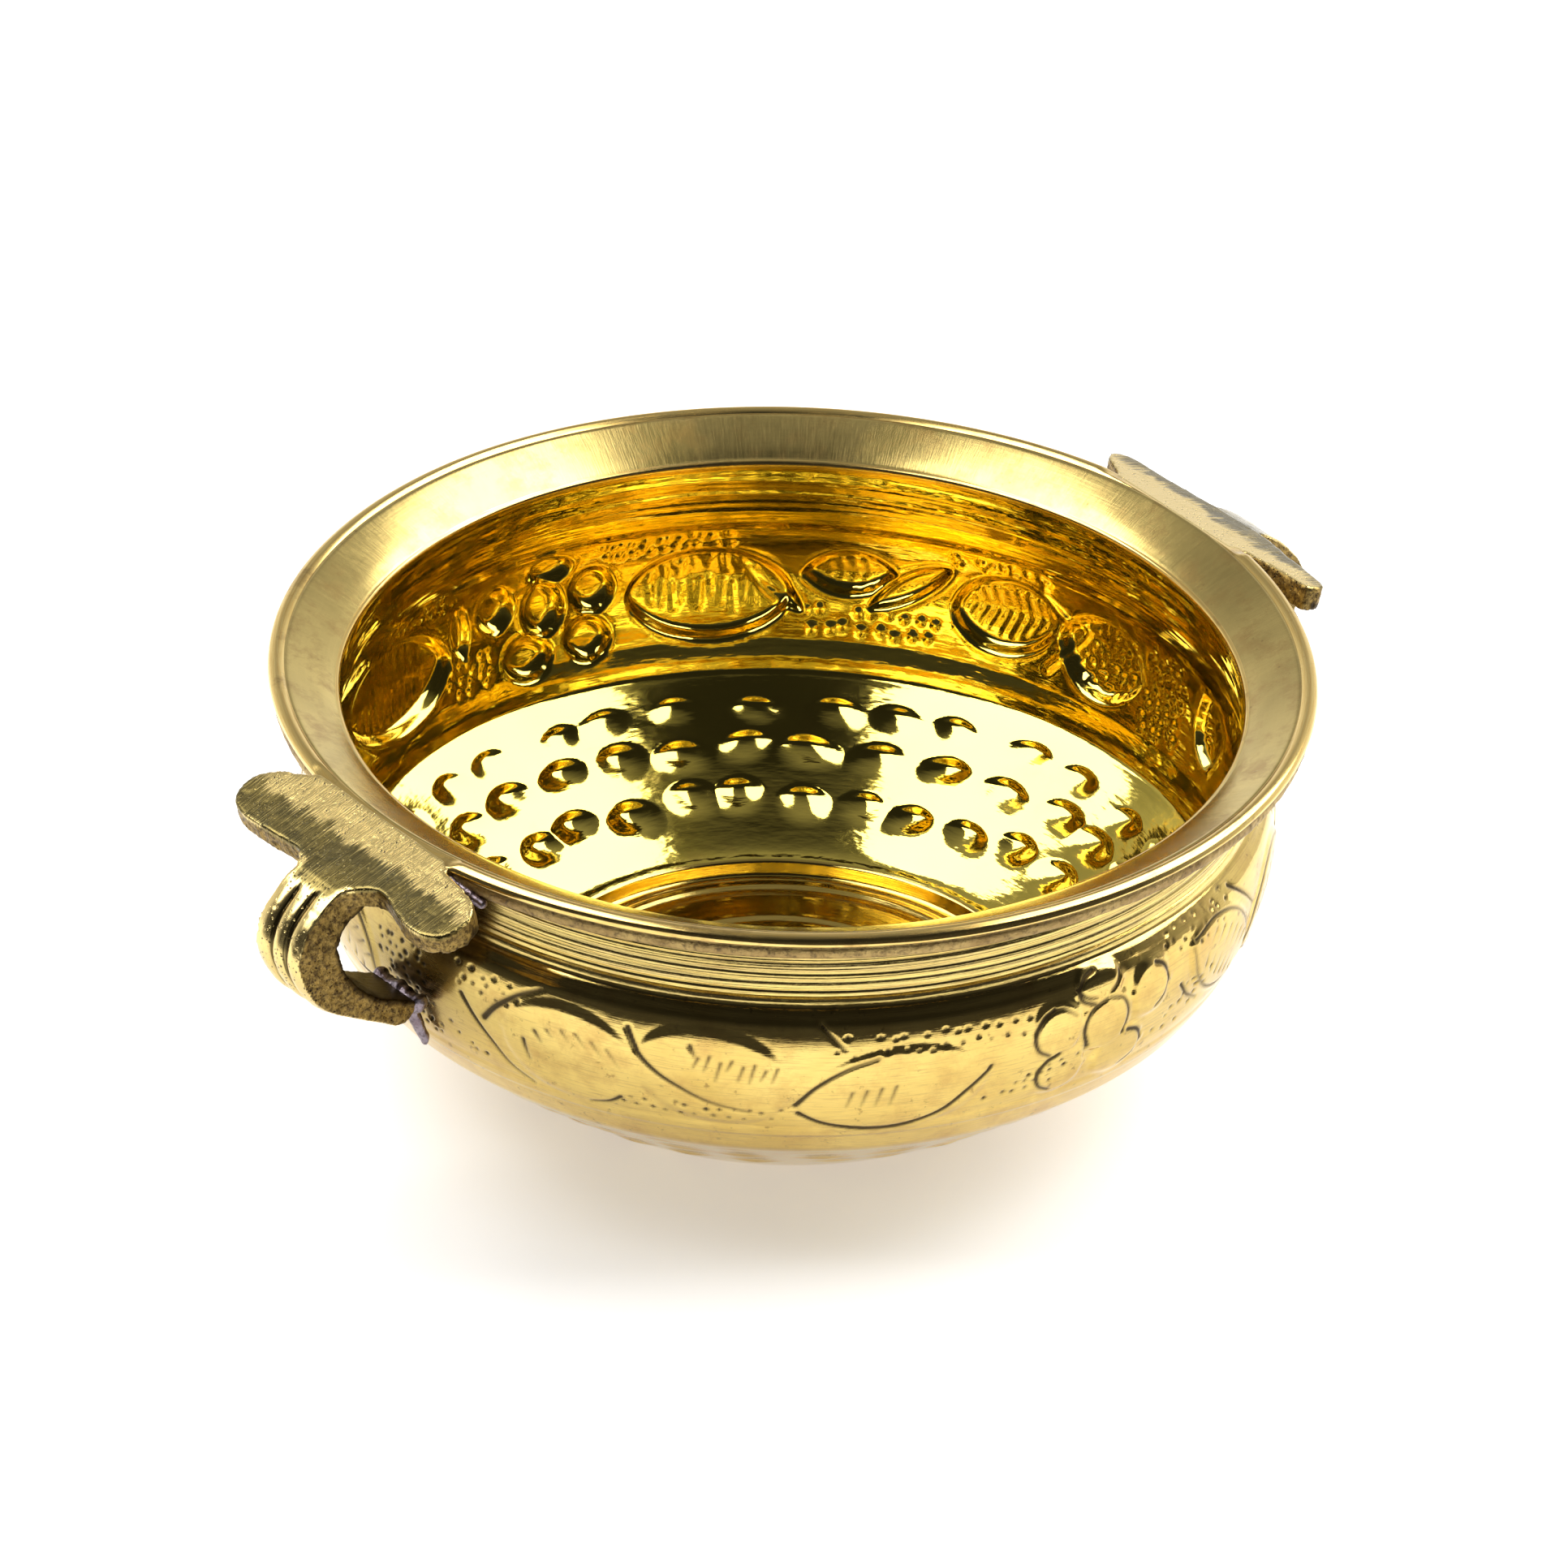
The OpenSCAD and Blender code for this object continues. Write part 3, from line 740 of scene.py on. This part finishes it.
def handle_mesh(name, bar, curl, at, seed):
    """One casting: a sloping crossbar and a strap that curls down, with grooves, pits and worn edges."""
    verts, faces = [], []
    a = math.cos(math.radians(BAR_FALL))
    flat = [[CREASE_R + (p[0] - CREASE_R) / a, p[1]] for p in bar]
    bar_edge = smooth_line(flat + [flat[0]], 0.9)[:-1]
    prism(verts, faces, bar_edge, lambda p, side: tilted(p, BAR_THICK * (1 - side)))
    outside, inside = smooth_line(curl, 0.8), smooth_line(LOOP_INSIDE, 0.8)
    loop = np.vstack([outside, inside])
    prism(verts, faces, loop[::-1], lambda p, side: (p[0], STRAP_HALF * (1 - 2 * side), LIP_Z + p[1]))
    obj = from_pydata(name, verts, faces)
    remesh(obj, 0.34, 5)
    co, no = read_mesh(obj)
    dist, along = nearest_on(outside, co[:, 0], co[:, 2] - LIP_Z)
    front = smoothstep(1.2, 0.5, dist) * smoothstep(0.25, 0.6, np.hypot(no[:, 0], no[:, 2]))
    begin = 13.2 + 0.8 * np.sin(co[:, 1] * 0.8 + seed)
    ramp = smoothstep(begin, begin + 1.8, along) * smoothstep(58, 50, along)
    groove = np.zeros(len(co))
    for y0 in (-1.95, 1.95):
        groove += np.exp(-((co[:, 1] - y0) / 0.5) ** 2)
    swell = 0.16 * np.cos(co[:, 1] / 3.9 * 2 * math.pi) * smoothstep(begin + 1, begin + 5, along)
    cut_depth = front * ramp * groove
    top = smoothstep(0.80, 0.93, no[:, 2]) * (co[:, 0] < 108)
    skin = np.clip(1 - top - 0.94 * front, 0, 1)
    bevel = front * smoothstep(1.5, 0.5, STRAP_HALF - np.abs(co[:, 1])) * smoothstep(8, 11, along)
    cast = 0.13 * value_noise(co, 1.5, seed) + 0.09 * value_noise(co, 0.7, seed + 1)
    pits = np.clip(value_noise(co, 0.95, seed + 2) - 0.35, 0, 1)
    wave = 0.22 * value_noise(co, 6.0, seed + 3)
    move = -0.62 * cut_depth + front * swell + skin * (cast - 0.45 * pits + wave)
    move += (1 - skin) * (0.03 * value_noise(co, 2.4, seed + 4) - 0.10 * pits * front)
    keep = smoothstep(89.5, 91.0, co[:, 0])
    co = co + no * (move * np.maximum(keep, 1 - top))[:, None]
    # The inside of the curl faces the bowl and is painted dark as shade.
    inner = smoothstep(1.4, 0.4, nearest_on(inside, co[:, 0], co[:, 2] - LIP_Z)[0])
    rim_near = smoothstep(97.5, 90.5, co[:, 0] + 1.5 * value_noise(co, 3.0, seed + 5)) * top
    turned = turned_by(co, at)
    turned[:, 0] = np.clip(turned[:, 0], cad_low.x / MM, cad_high.x / MM)
    write_mesh(obj, turned)
    set_values(obj, "here", co * MM)
    set_values(obj, "ground", top)
    set_values(obj, "skin", np.clip(skin + 0.3 * inner, 0, 1))
    # Darkening per vertex: dirt in the grooves and cast pits, and painted shade inside the curl.
    set_values(obj, "grime_and_shade", np.clip(cut_depth * 0.9 + skin * pits * 1.2 + 0.9 * inner, 0, 1.5))
    worn = 0.8 * front * smoothstep(12, 15, along) * (1 - cut_depth) + bevel
    set_values(obj, "gold", np.clip(rim_near + worn, 0, 1))
    return obj


# ---------------------------------------------------------------- braze
def blobs(name, at, lumps, seed):
    """A run of braze from overlapping round lumps, (x, y, z, rx, ry, rz) in the handle's own frame."""
    verts, faces = [], []
    n, m = 20, 10               # sides and rings of one lump
    for cx, cy, cz, rx, ry, rz in lumps:
        base = len(verts)
        for i in range(1, m):
            for j in range(n):
                lat, lon = math.pi * i / m, 2 * math.pi * j / n
                ring = math.sin(lat)
                verts.append((cx + rx * ring * math.cos(lon), cy + ry * ring * math.sin(lon),
                              cz + rz * math.cos(lat)))
        verts += [(cx, cy, cz + rz), (cx, cy, cz - rz)]
        top, bottom = base + (m - 1) * n, base + (m - 1) * n + 1
        for j in range(n):
            k = (j + 1) % n
            faces.append([top, base + j, base + k])
            faces.append([bottom, base + (m - 2) * n + k, base + (m - 2) * n + j])
            for i in range(m - 2):
                low, high = base + (i + 1) * n, base + i * n
                faces.append([high + j, low + j, low + k, high + k])
    obj = from_pydata(name, verts, faces)
    remesh(obj, 0.4, 4)
    co, no = read_mesh(obj)
    move = 0.16 * value_noise(co, 1.7, seed) + 0.08 * value_noise(co, 0.8, seed + 1)
    co = co + no * move[:, None]
    write_mesh(obj, turned_by(co, at))
    set_values(obj, "here", co * MM)
    return obj


def rim_lumps(start, end, seam_from, seam_to):
    """Braze under the crossbar, and the seam that shows in the wedge between one wing and the rim."""
    out = []
    for k in range(12):
        y = start + (end - start) * k / 11
        x = math.sqrt((RIM_R - 1.2) ** 2 - y * y)
        out.append((x, y, LIP_Z - 5.2 + 0.3 * math.sin(3 * k), 1.9, 2.4, 1.4))
    for k in range(7):
        y = seam_from + (seam_to - seam_from) * k / 6
        x = math.sqrt((RIM_R - 0.5) ** 2 - y * y)
        out.append((x, y, LIP_Z - 2.2 - 0.25 * k, 1.0, 1.5, 1.6 - 0.1 * k))
    return out


def foot_lumps(lean):
    """Braze along the end of the loop's tail, and the run that it left down the belly."""
    out = []
    for k in range(7):
        y = -5.2 + 10.4 * k / 6
        out.append((85.3, y, LIP_Z - 33.0 + 0.4 * math.cos(2 * k), 1.7, 1.3, 1.9))
    for k in range(7):
        t = k / 6
        out.append((84.9 - 1.9 * t - 0.5 * t * t, 1.6 + lean * t, LIP_Z - 34 - 7.4 * t, 1.25 - 0.5 * t,
                    1.9 - 0.8 * t, 1.6))
    return out


# ---------------------------------------------------------------- materials
class Nodes:
    """Short hand for the node tree of a material or of the world."""

    def __init__(self, owner):
        owner.use_nodes = True
        self.owner = owner
        self.tree = owner.node_tree

    def feed(self, socket, value):
        if isinstance(value, bpy.types.NodeSocket):
            self.tree.links.new(value, socket)
        elif value is not None:
            socket.default_value = value

    def add(self, kind, output, settings=(), **values):
        """A node with its inputs linked or set, by their names; gives back one of its outputs."""
        node = self.tree.nodes.new(kind)
        for key, value in dict(settings).items():
            setattr(node, key, value)
        for key, value in values.items():
            self.feed(node.inputs[key.replace("_", " ")], value)
        return node.outputs[output]

    def value(self, name):
        return self.add("ShaderNodeAttribute", "Fac", {"attribute_name": name})

    def vector(self, name):
        return self.add("ShaderNodeAttribute", "Vector", {"attribute_name": name})

    def vector_math(self, operation, output, a, b):
        out = self.add("ShaderNodeVectorMath", output, {"operation": operation})
        self.feed(out.node.inputs[0], a)
        self.feed(out.node.inputs[1], b)
        return out

    def position(self):
        return self.add("ShaderNodeTexCoord", "Object")

    def noise(self, vector, scale, detail=3.0, rough=0.5, distort=0.0):
        return self.add("ShaderNodeTexNoise", "Fac", Vector=vector, Scale=scale, Detail=detail,
                        Roughness=rough, Distortion=distort)

    def drawn(self, turn, round_it, up_it, detail, rough):
        """Noise drawn out by the lathe: its scale round the bowl, and up its outline."""
        stretched = self.vector_math("MULTIPLY", 0, turn, (round_it, round_it, up_it))
        return self.noise(stretched, 1.0, detail, rough)

    def spots(self, vector, scale):
        return self.add("ShaderNodeTexVoronoi", "Distance", {"feature": "F1"}, Vector=vector, Scale=scale)

    def span(self, value, low, high, to_low=0.0, to_high=1.0):
        return self.add("ShaderNodeMapRange", "Result", {"clamp": True}, Value=value, From_Min=low,
                        From_Max=high, To_Min=to_low, To_Max=to_high)

    def math(self, operation, a, b=None):
        out = self.add("ShaderNodeMath", 0, {"operation": operation})
        self.feed(out.node.inputs[0], a)
        self.feed(out.node.inputs[1], b)
        return out

    def blend(self, factor, a, b):
        return self.add("ShaderNodeMix", "Result", {"data_type": "RGBA"}, Factor=factor, A=a, B=b)

    def stain(self, color, value, low, high, amount, tint):
        """Lays a tint over the colour where the value is high."""
        return self.blend(self.span(value, low, high, 0, amount), color, tint)

    def bump(self, height, distance, strength=1.0, normal=None):
        return self.add("ShaderNodeBump", "Normal", Height=height, Distance=distance, Strength=strength,
                        Normal=normal)

    def finish(self, color, rough, normal=None, metallic=1.0):
        shader = self.tree.nodes["Principled BSDF"]
        for key, value in (("Base Color", color), ("Roughness", rough), ("Metallic", metallic),
                           ("Normal", normal)):
            self.feed(shader.inputs[key], value)
        return self.owner


def new_material(name):
    return Nodes(bpy.data.materials.new(name))


GOLD = (0.88, 0.69, 0.14, 1)
PALE = (0.84, 0.64, 0.20, 1)
BROWN = (0.20, 0.115, 0.04, 1)
BLACK = (0.018, 0.013, 0.010, 1)


def inside_brass():
    n = new_material("polished_brass")
    p, t = n.position(), n.vector("turn")
    wide = n.noise(p, 18, 3)
    fine = n.drawn(t, 60, 900, 3, 0.6)
    hair = n.drawn(t, 9, 420, 2, 0.5)
    color = n.blend(n.span(wide, 0.35, 0.7), GOLD, (0.82, 0.63, 0.115, 1))
    stain = n.span(n.noise(p, 70, 5, 0.65), 0.60, 0.74)
    color = n.blend(n.math("MULTIPLY", stain, 0.35), color, (0.66, 0.40, 0.10, 1))
    rough = n.math("ADD", n.span(fine, 0.3, 0.8, 0.045, 0.09), n.span(wide, 0.4, 0.8, 0.0, 0.03))
    streak = n.drawn(t, 13, 75, 2, 0.5)
    normal = n.bump(hair, 0.000004, 0.6)
    normal = n.bump(streak, 0.00007, 0.8, normal)
    normal = n.bump(n.noise(p, 160, 2), 0.00012, 0.5, normal)
    return n.finish(color, rough, normal)


def floor_brass():
    n = new_material("turned_floor_brass")
    p, t = n.position(), n.vector("turn")
    rings = n.drawn(t, 4, 380, 3, 0.6)
    color = n.blend(n.span(n.noise(p, 40, 4), 0.35, 0.7), (0.72, 0.52, 0.13, 1), (0.54, 0.37, 0.10, 1))
    color = n.stain(color, rings, 0.58, 0.8, 0.5, (0.40, 0.26, 0.08, 1))
    rough = n.span(rings, 0.3, 0.8, 0.05, 0.15)
    return n.finish(color, rough, n.bump(rings, 0.00003, 0.9))


def flange_brass():
    n = new_material("satin_rim_brass")
    p, t = n.position(), n.vector("turn")
    scratch = n.drawn(t, 300, 24, 3, 0.6)
    ring = n.drawn(t, 3, 160, 2, 0.5)
    cloud = n.noise(p, 26, 5, 0.6, 0.6)
    mottle = n.noise(p, 150, 5, 0.7)
    color = n.blend(n.span(cloud, 0.36, 0.66), (0.74, 0.56, 0.19, 1), (0.52, 0.39, 0.13, 1))
    color = n.stain(color, mottle, 0.48, 0.66, 0.75, (0.47, 0.31, 0.10, 1))
    specks = n.span(n.spots(p, 520), 0.05, 0.16, 0.55, 0)
    color = n.blend(n.math("MULTIPLY", specks, n.span(mottle, 0.5, 0.62)), color, BROWN)
    rough = n.math("ADD", n.span(scratch, 0.3, 0.75, 0.15, 0.23), n.span(mottle, 0.45, 0.8, 0, 0.08))
    normal = n.bump(scratch, 0.000012, 0.8)
    normal = n.bump(ring, 0.000015, 0.6, normal)
    return n.finish(color, rough, normal)


def bead_brass():
    n = new_material("rim_bead_brass")
    p, t = n.position(), n.vector("turn")
    streak = n.drawn(t, 14, 400, 3, 0.6)
    blotch = n.noise(p, 90, 5, 0.7)
    color = n.blend(n.span(streak, 0.35, 0.7), (0.84, 0.62, 0.22, 1), (0.72, 0.47, 0.13, 1))
    color = n.stain(color, blotch, 0.56, 0.72, 0.7, (0.30, 0.18, 0.06, 1))
    rough = n.span(streak, 0.3, 0.8, 0.13, 0.26)
    return n.finish(color, rough, n.bump(streak, 0.00001, 0.7))


def neck_brass():
    n = new_material("turned_neck_brass")
    p, t = n.position(), n.vector("turn")
    lines = n.drawn(t, 5, 440, 4, 0.65)
    broad = n.drawn(t, 4, 90, 2, 0.5)
    color = n.blend(n.span(broad, 0.35, 0.68), PALE, (0.72, 0.54, 0.20, 1))
    color = n.stain(color, lines, 0.54, 0.70, 0.85, BROWN)
    # Darkened by dirt in the turned lines, and by painted shade near the handles.
    color = n.blend(n.math("MULTIPLY", n.value("grime_and_shade"), 0.85), color, (0.10, 0.07, 0.03, 1))
    color = n.stain(color, n.noise(p, 60, 4, 0.6), 0.58, 0.72, 0.4, (0.48, 0.32, 0.11, 1))
    rough = n.span(lines, 0.3, 0.8, 0.09, 0.24)
    return n.finish(color, rough, n.bump(lines, 0.00005, 1.0))


def belly_brass():
    n = new_material("brushed_belly_brass")
    p, t = n.position(), n.vector("turn")
    brush = n.drawn(t, 16, 420, 3, 0.6)
    cloud = n.noise(p, 34, 5, 0.6, 0.8)
    fleck = n.noise(p, 420, 3, 0.7)
    color = n.blend(n.span(cloud, 0.38, 0.66), (0.75, 0.555, 0.17, 1), (0.62, 0.43, 0.115, 1))
    color = n.stain(color, n.noise(p, 110, 5, 0.7), 0.48, 0.68, 0.7, (0.52, 0.32, 0.095, 1))
    color = n.stain(color, fleck, 0.62, 0.72, 0.6, BROWN)
    color = n.stain(color, brush, 0.52, 0.70, 0.55, (0.44, 0.29, 0.10, 1))
    # Darkened by dirt in the chased lines, and by painted shade near the handles.
    color = n.blend(n.math("MULTIPLY", n.value("grime_and_shade"), 0.8), color, (0.085, 0.06, 0.025, 1))
    rough = n.math("ADD", n.span(brush, 0.3, 0.75, 0.06, 0.13), n.math("MULTIPLY", n.value("grime_and_shade"), 0.3))
    return n.finish(color, rough, n.bump(brush, 0.000014, 1.0))


def rough_brass():
    n = new_material("cast_edge_brass")
    p = n.position()
    grain = n.noise(p, 900, 4, 0.7)
    cloud = n.noise(p, 130, 4, 0.6)
    color = n.blend(n.span(cloud, 0.35, 0.7), (0.52, 0.37, 0.14, 1), (0.30, 0.19, 0.07, 1))
    color = n.stain(color, grain, 0.50, 0.70, 0.8, (0.14, 0.10, 0.06, 1))
    return n.finish(color, n.span(grain, 0.3, 0.7, 0.34, 0.62), n.bump(grain, 0.00035, 0.9))


def handle_brass():
    n = new_material("cast_handle_brass")
    p = n.vector("here")
    ground, skin = n.value("ground"), n.value("skin")
    grime_and_shade, gold = n.value("grime_and_shade"), n.value("gold")
    brushed = n.noise(n.vector_math("MULTIPLY", 0, p, (110, 3600, 110)), 1.0, 3, 0.6)
    cloud = n.noise(p, 110, 5, 0.65, 0.5)
    grain = n.noise(p, 1100, 4, 0.75)
    pits = n.span(n.spots(p, 1250), 0.10, 0.30, 1.0, 0.0)
    pit_area = n.span(n.noise(p, 240, 3, 0.6), 0.45, 0.6)
    pits = n.math("MULTIPLY", pits, pit_area)
    patina = n.blend(n.span(cloud, 0.35, 0.68), (0.25, 0.19, 0.06, 1), (0.10, 0.085, 0.038, 1))
    patina = n.stain(patina, brushed, 0.48, 0.75, 0.28, (0.52, 0.38, 0.12, 1))
    cast = n.blend(n.span(grain, 0.40, 0.62), (0.43, 0.29, 0.085, 1), (0.08, 0.05, 0.02, 1))
    color = n.blend(skin, patina, cast)
    ragged = n.math("ADD", gold, n.span(brushed, 0.3, 0.7, -0.28, 0.28))
    color = n.blend(n.span(ragged, 0.35, 0.6), color, (0.82, 0.62, 0.24, 1))
    color = n.blend(n.math("MULTIPLY", pits, n.span(n.math("ADD", skin, gold), 0.2, 0.7)), color, BLACK)
    # Near black for dirt in the grooves and pits, and for painted shade inside the curl.
    color = n.blend(n.span(grime_and_shade, 0.1, 1.0), color, (0.045, 0.028, 0.012, 1))
    rough = n.blend(skin, (0.24, 0.24, 0.24, 1), (0.50, 0.50, 0.50, 1))
    rough = n.math("ADD", rough, n.span(brushed, 0.3, 0.8, -0.06, 0.08))
    height = n.math("SUBTRACT", n.math("MULTIPLY", grain, skin), n.math("MULTIPLY", pits, 1.2))
    normal = n.bump(height, 0.00030, 0.7)
    normal = n.bump(n.math("MULTIPLY", brushed, ground), 0.00009, 0.7, normal)
    return n.finish(color, rough, normal)


def braze_metal():
    n = new_material("dark_braze")
    p = n.vector("here")
    cloud = n.noise(p, 260, 4, 0.6)
    grain = n.noise(p, 900, 3, 0.6)
    color = n.blend(n.span(cloud, 0.35, 0.68), (0.16, 0.115, 0.13, 1), (0.38, 0.33, 0.37, 1))
    color = n.stain(color, grain, 0.52, 0.7, 0.8, (0.05, 0.032, 0.03, 1))
    return n.finish(color, n.span(grain, 0.3, 0.7, 0.22, 0.5), n.bump(grain, 0.0003, 0.8))


# ---------------------------------------------------------------- pieces
bowl = bowl_mesh()
for m in (neck_brass(), belly_brass(), rough_brass(), bead_brass(), flange_brass(), inside_brass(),
          floor_brass()):       # in the order of METAL_OF
    bowl.data.materials.append(m)
cast, braze = handle_brass(), braze_metal()
left_handle = handle_mesh("left_handle_cast", BAR_LEFT, LOOP_LEFT, LEFT_AT, 21)
right_handle = handle_mesh("right_handle_cast", BAR_RIGHT, LOOP_RIGHT, RIGHT_AT, 58)
left_rim = blobs("left_rim_run", LEFT_AT, rim_lumps(-17, 13, 15.4, 22.5), 31)
right_rim = blobs("right_rim_run", RIGHT_AT, rim_lumps(-13, 17, -15.4, -20), 35)
left_foot = blobs("left_foot_run", LEFT_AT, foot_lumps(1.8), 41)
right_foot = blobs("right_foot_run", RIGHT_AT, foot_lumps(-1.2), 45)
for piece, node, slot, metal in (
        (bowl, "bowl", "turned_brass", None), (left_handle, "left_handle", "cast_brass", cast),
        (right_handle, "right_handle", "cast_brass", cast), (left_rim, "left_rim_braze", "braze", braze),
        (right_rim, "right_rim_braze", "braze", braze), (left_foot, "left_foot_braze", "braze", braze),
        (right_foot, "right_foot_braze", "braze", braze)):
    if metal:
        piece.data.materials.append(metal)
    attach(piece, "root")
    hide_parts(node)

# ---------------------------------------------------------------- camera
VIEW_AZ, VIEW_EL, ROLL = math.radians(-40.1), math.radians(30.6), math.radians(2.2)
DISTANCE = 1.8                      # m
SENSOR, LENS = 36, 241.35           # mm
AIM_RIGHT, AIM_UP = math.radians(0.0504), math.radians(0.637)   # the view's turn off the rim's centre
back = Vector((math.sin(VIEW_AZ) * math.cos(VIEW_EL), -math.cos(VIEW_AZ) * math.cos(VIEW_EL),
               math.sin(VIEW_EL)))
right = Vector((math.cos(VIEW_AZ), math.sin(VIEW_AZ), 0))
up = back.cross(right)
right_r = right * math.cos(ROLL) + up * math.sin(ROLL)
up_r = up * math.cos(ROLL) - right * math.sin(ROLL)
target = Vector((0, 0, LIP_Z * MM))
eye = target + back * DISTANCE
forward = (-back - right_r * math.tan(AIM_RIGHT) - up_r * math.tan(AIM_UP)).normalized()
cam_right = forward.cross(up_r).normalized()
cam_up = cam_right.cross(forward)
camera_data = bpy.data.cameras.new("camera")
camera_data.sensor_width = SENSOR
camera_data.lens = LENS
camera_data.clip_end = 50
camera = bpy.data.objects.new("camera", camera_data)
axes = zip(cam_right, cam_up, -forward, eye)
camera.matrix_world = Matrix([list(row) for row in axes] + [[0, 0, 0, 1]])
bpy.context.scene.camera = link(camera)

# ---------------------------------------------------------------- floor and light
# The floor ends in front of the bowl, so that the shoulder reflects the dark room beyond its edge.
FLOOR_RADIUS, FLOOR_AWAY, FLOOR_SIDES = 0.36, 0.12, 64
AWAY = Vector((-back.x, -back.y, 0)).normalized()
floor_mesh = bpy.data.meshes.new("studio_floor")
around = [2 * math.pi * i / FLOOR_SIDES for i in range(FLOOR_SIDES)]
floor_mesh.from_pydata([(AWAY.x * FLOOR_AWAY + FLOOR_RADIUS * math.cos(a),
                         AWAY.y * FLOOR_AWAY + FLOOR_RADIUS * math.sin(a), -0.0002) for a in around],
                       [], [list(range(FLOOR_SIDES))])
studio_floor = link(bpy.data.objects.new("studio_floor", floor_mesh))
paper = new_material("pale_paper")
floor_mesh.materials.append(paper.finish((0.92, 0.92, 0.92, 1), 0.9, None, 0.0))
glow = paper.tree.nodes["Principled BSDF"].inputs
glow["Emission Color"].default_value = (1, 1, 1, 1)
glow["Emission Strength"].default_value = 0.4


def box_light(name, to_right, away, height, wide, deep, watts):
    """A soft box, placed from the viewer's side and turned to face the bowl."""
    data = bpy.data.lights.new(name, "AREA")
    data.shape = "RECTANGLE"
    data.size = wide
    data.size_y = deep
    data.energy = watts
    obj = bpy.data.objects.new(name, data)
    place = right * to_right + AWAY * away + Vector((0, 0, height))
    obj.location = place
    obj.rotation_euler = (place - Vector((0, 0, 0.04))).to_track_quat("Z", "Y").to_euler()
    link(obj)


box_light("box_right", 1.06, 0.40, 1.22, 1.30, 1.35, 29)
box_light("box_left_top", -0.80, 0.02, 1.26, 1.10, 1.05, 19)

world = bpy.data.worlds.new("studio")
bpy.context.scene.world = world
sky = Nodes(world)
direction = sky.add("ShaderNodeTexCoord", "Generated")
away = sky.vector_math("DOT_PRODUCT", "Value", direction, AWAY)
height = sky.add("ShaderNodeSeparateXYZ", "Z", Vector=direction)
# The room is dark on the viewer's side, and dimmer overhead than at the level of the bowl.
room = sky.math("MULTIPLY", sky.span(away, -0.20, 0.50, 0.06, 1.0), sky.span(height, 0.10, 0.60, 1.1, 0.34))
# The backdrop that the camera sees is pale all round; only the reflections see the darker room.
to_camera = sky.add("ShaderNodeLightPath", "Is Camera Ray")
seen = sky.add("ShaderNodeMix", "Result", {"data_type": "FLOAT"}, Factor=to_camera, A=room, B=0.95)
background = sky.tree.nodes["Background"].inputs
sky.feed(background["Strength"], seen)
background["Color"].default_value = (1, 1, 1, 1)
bpy.context.scene.view_settings.view_transform = "Standard"
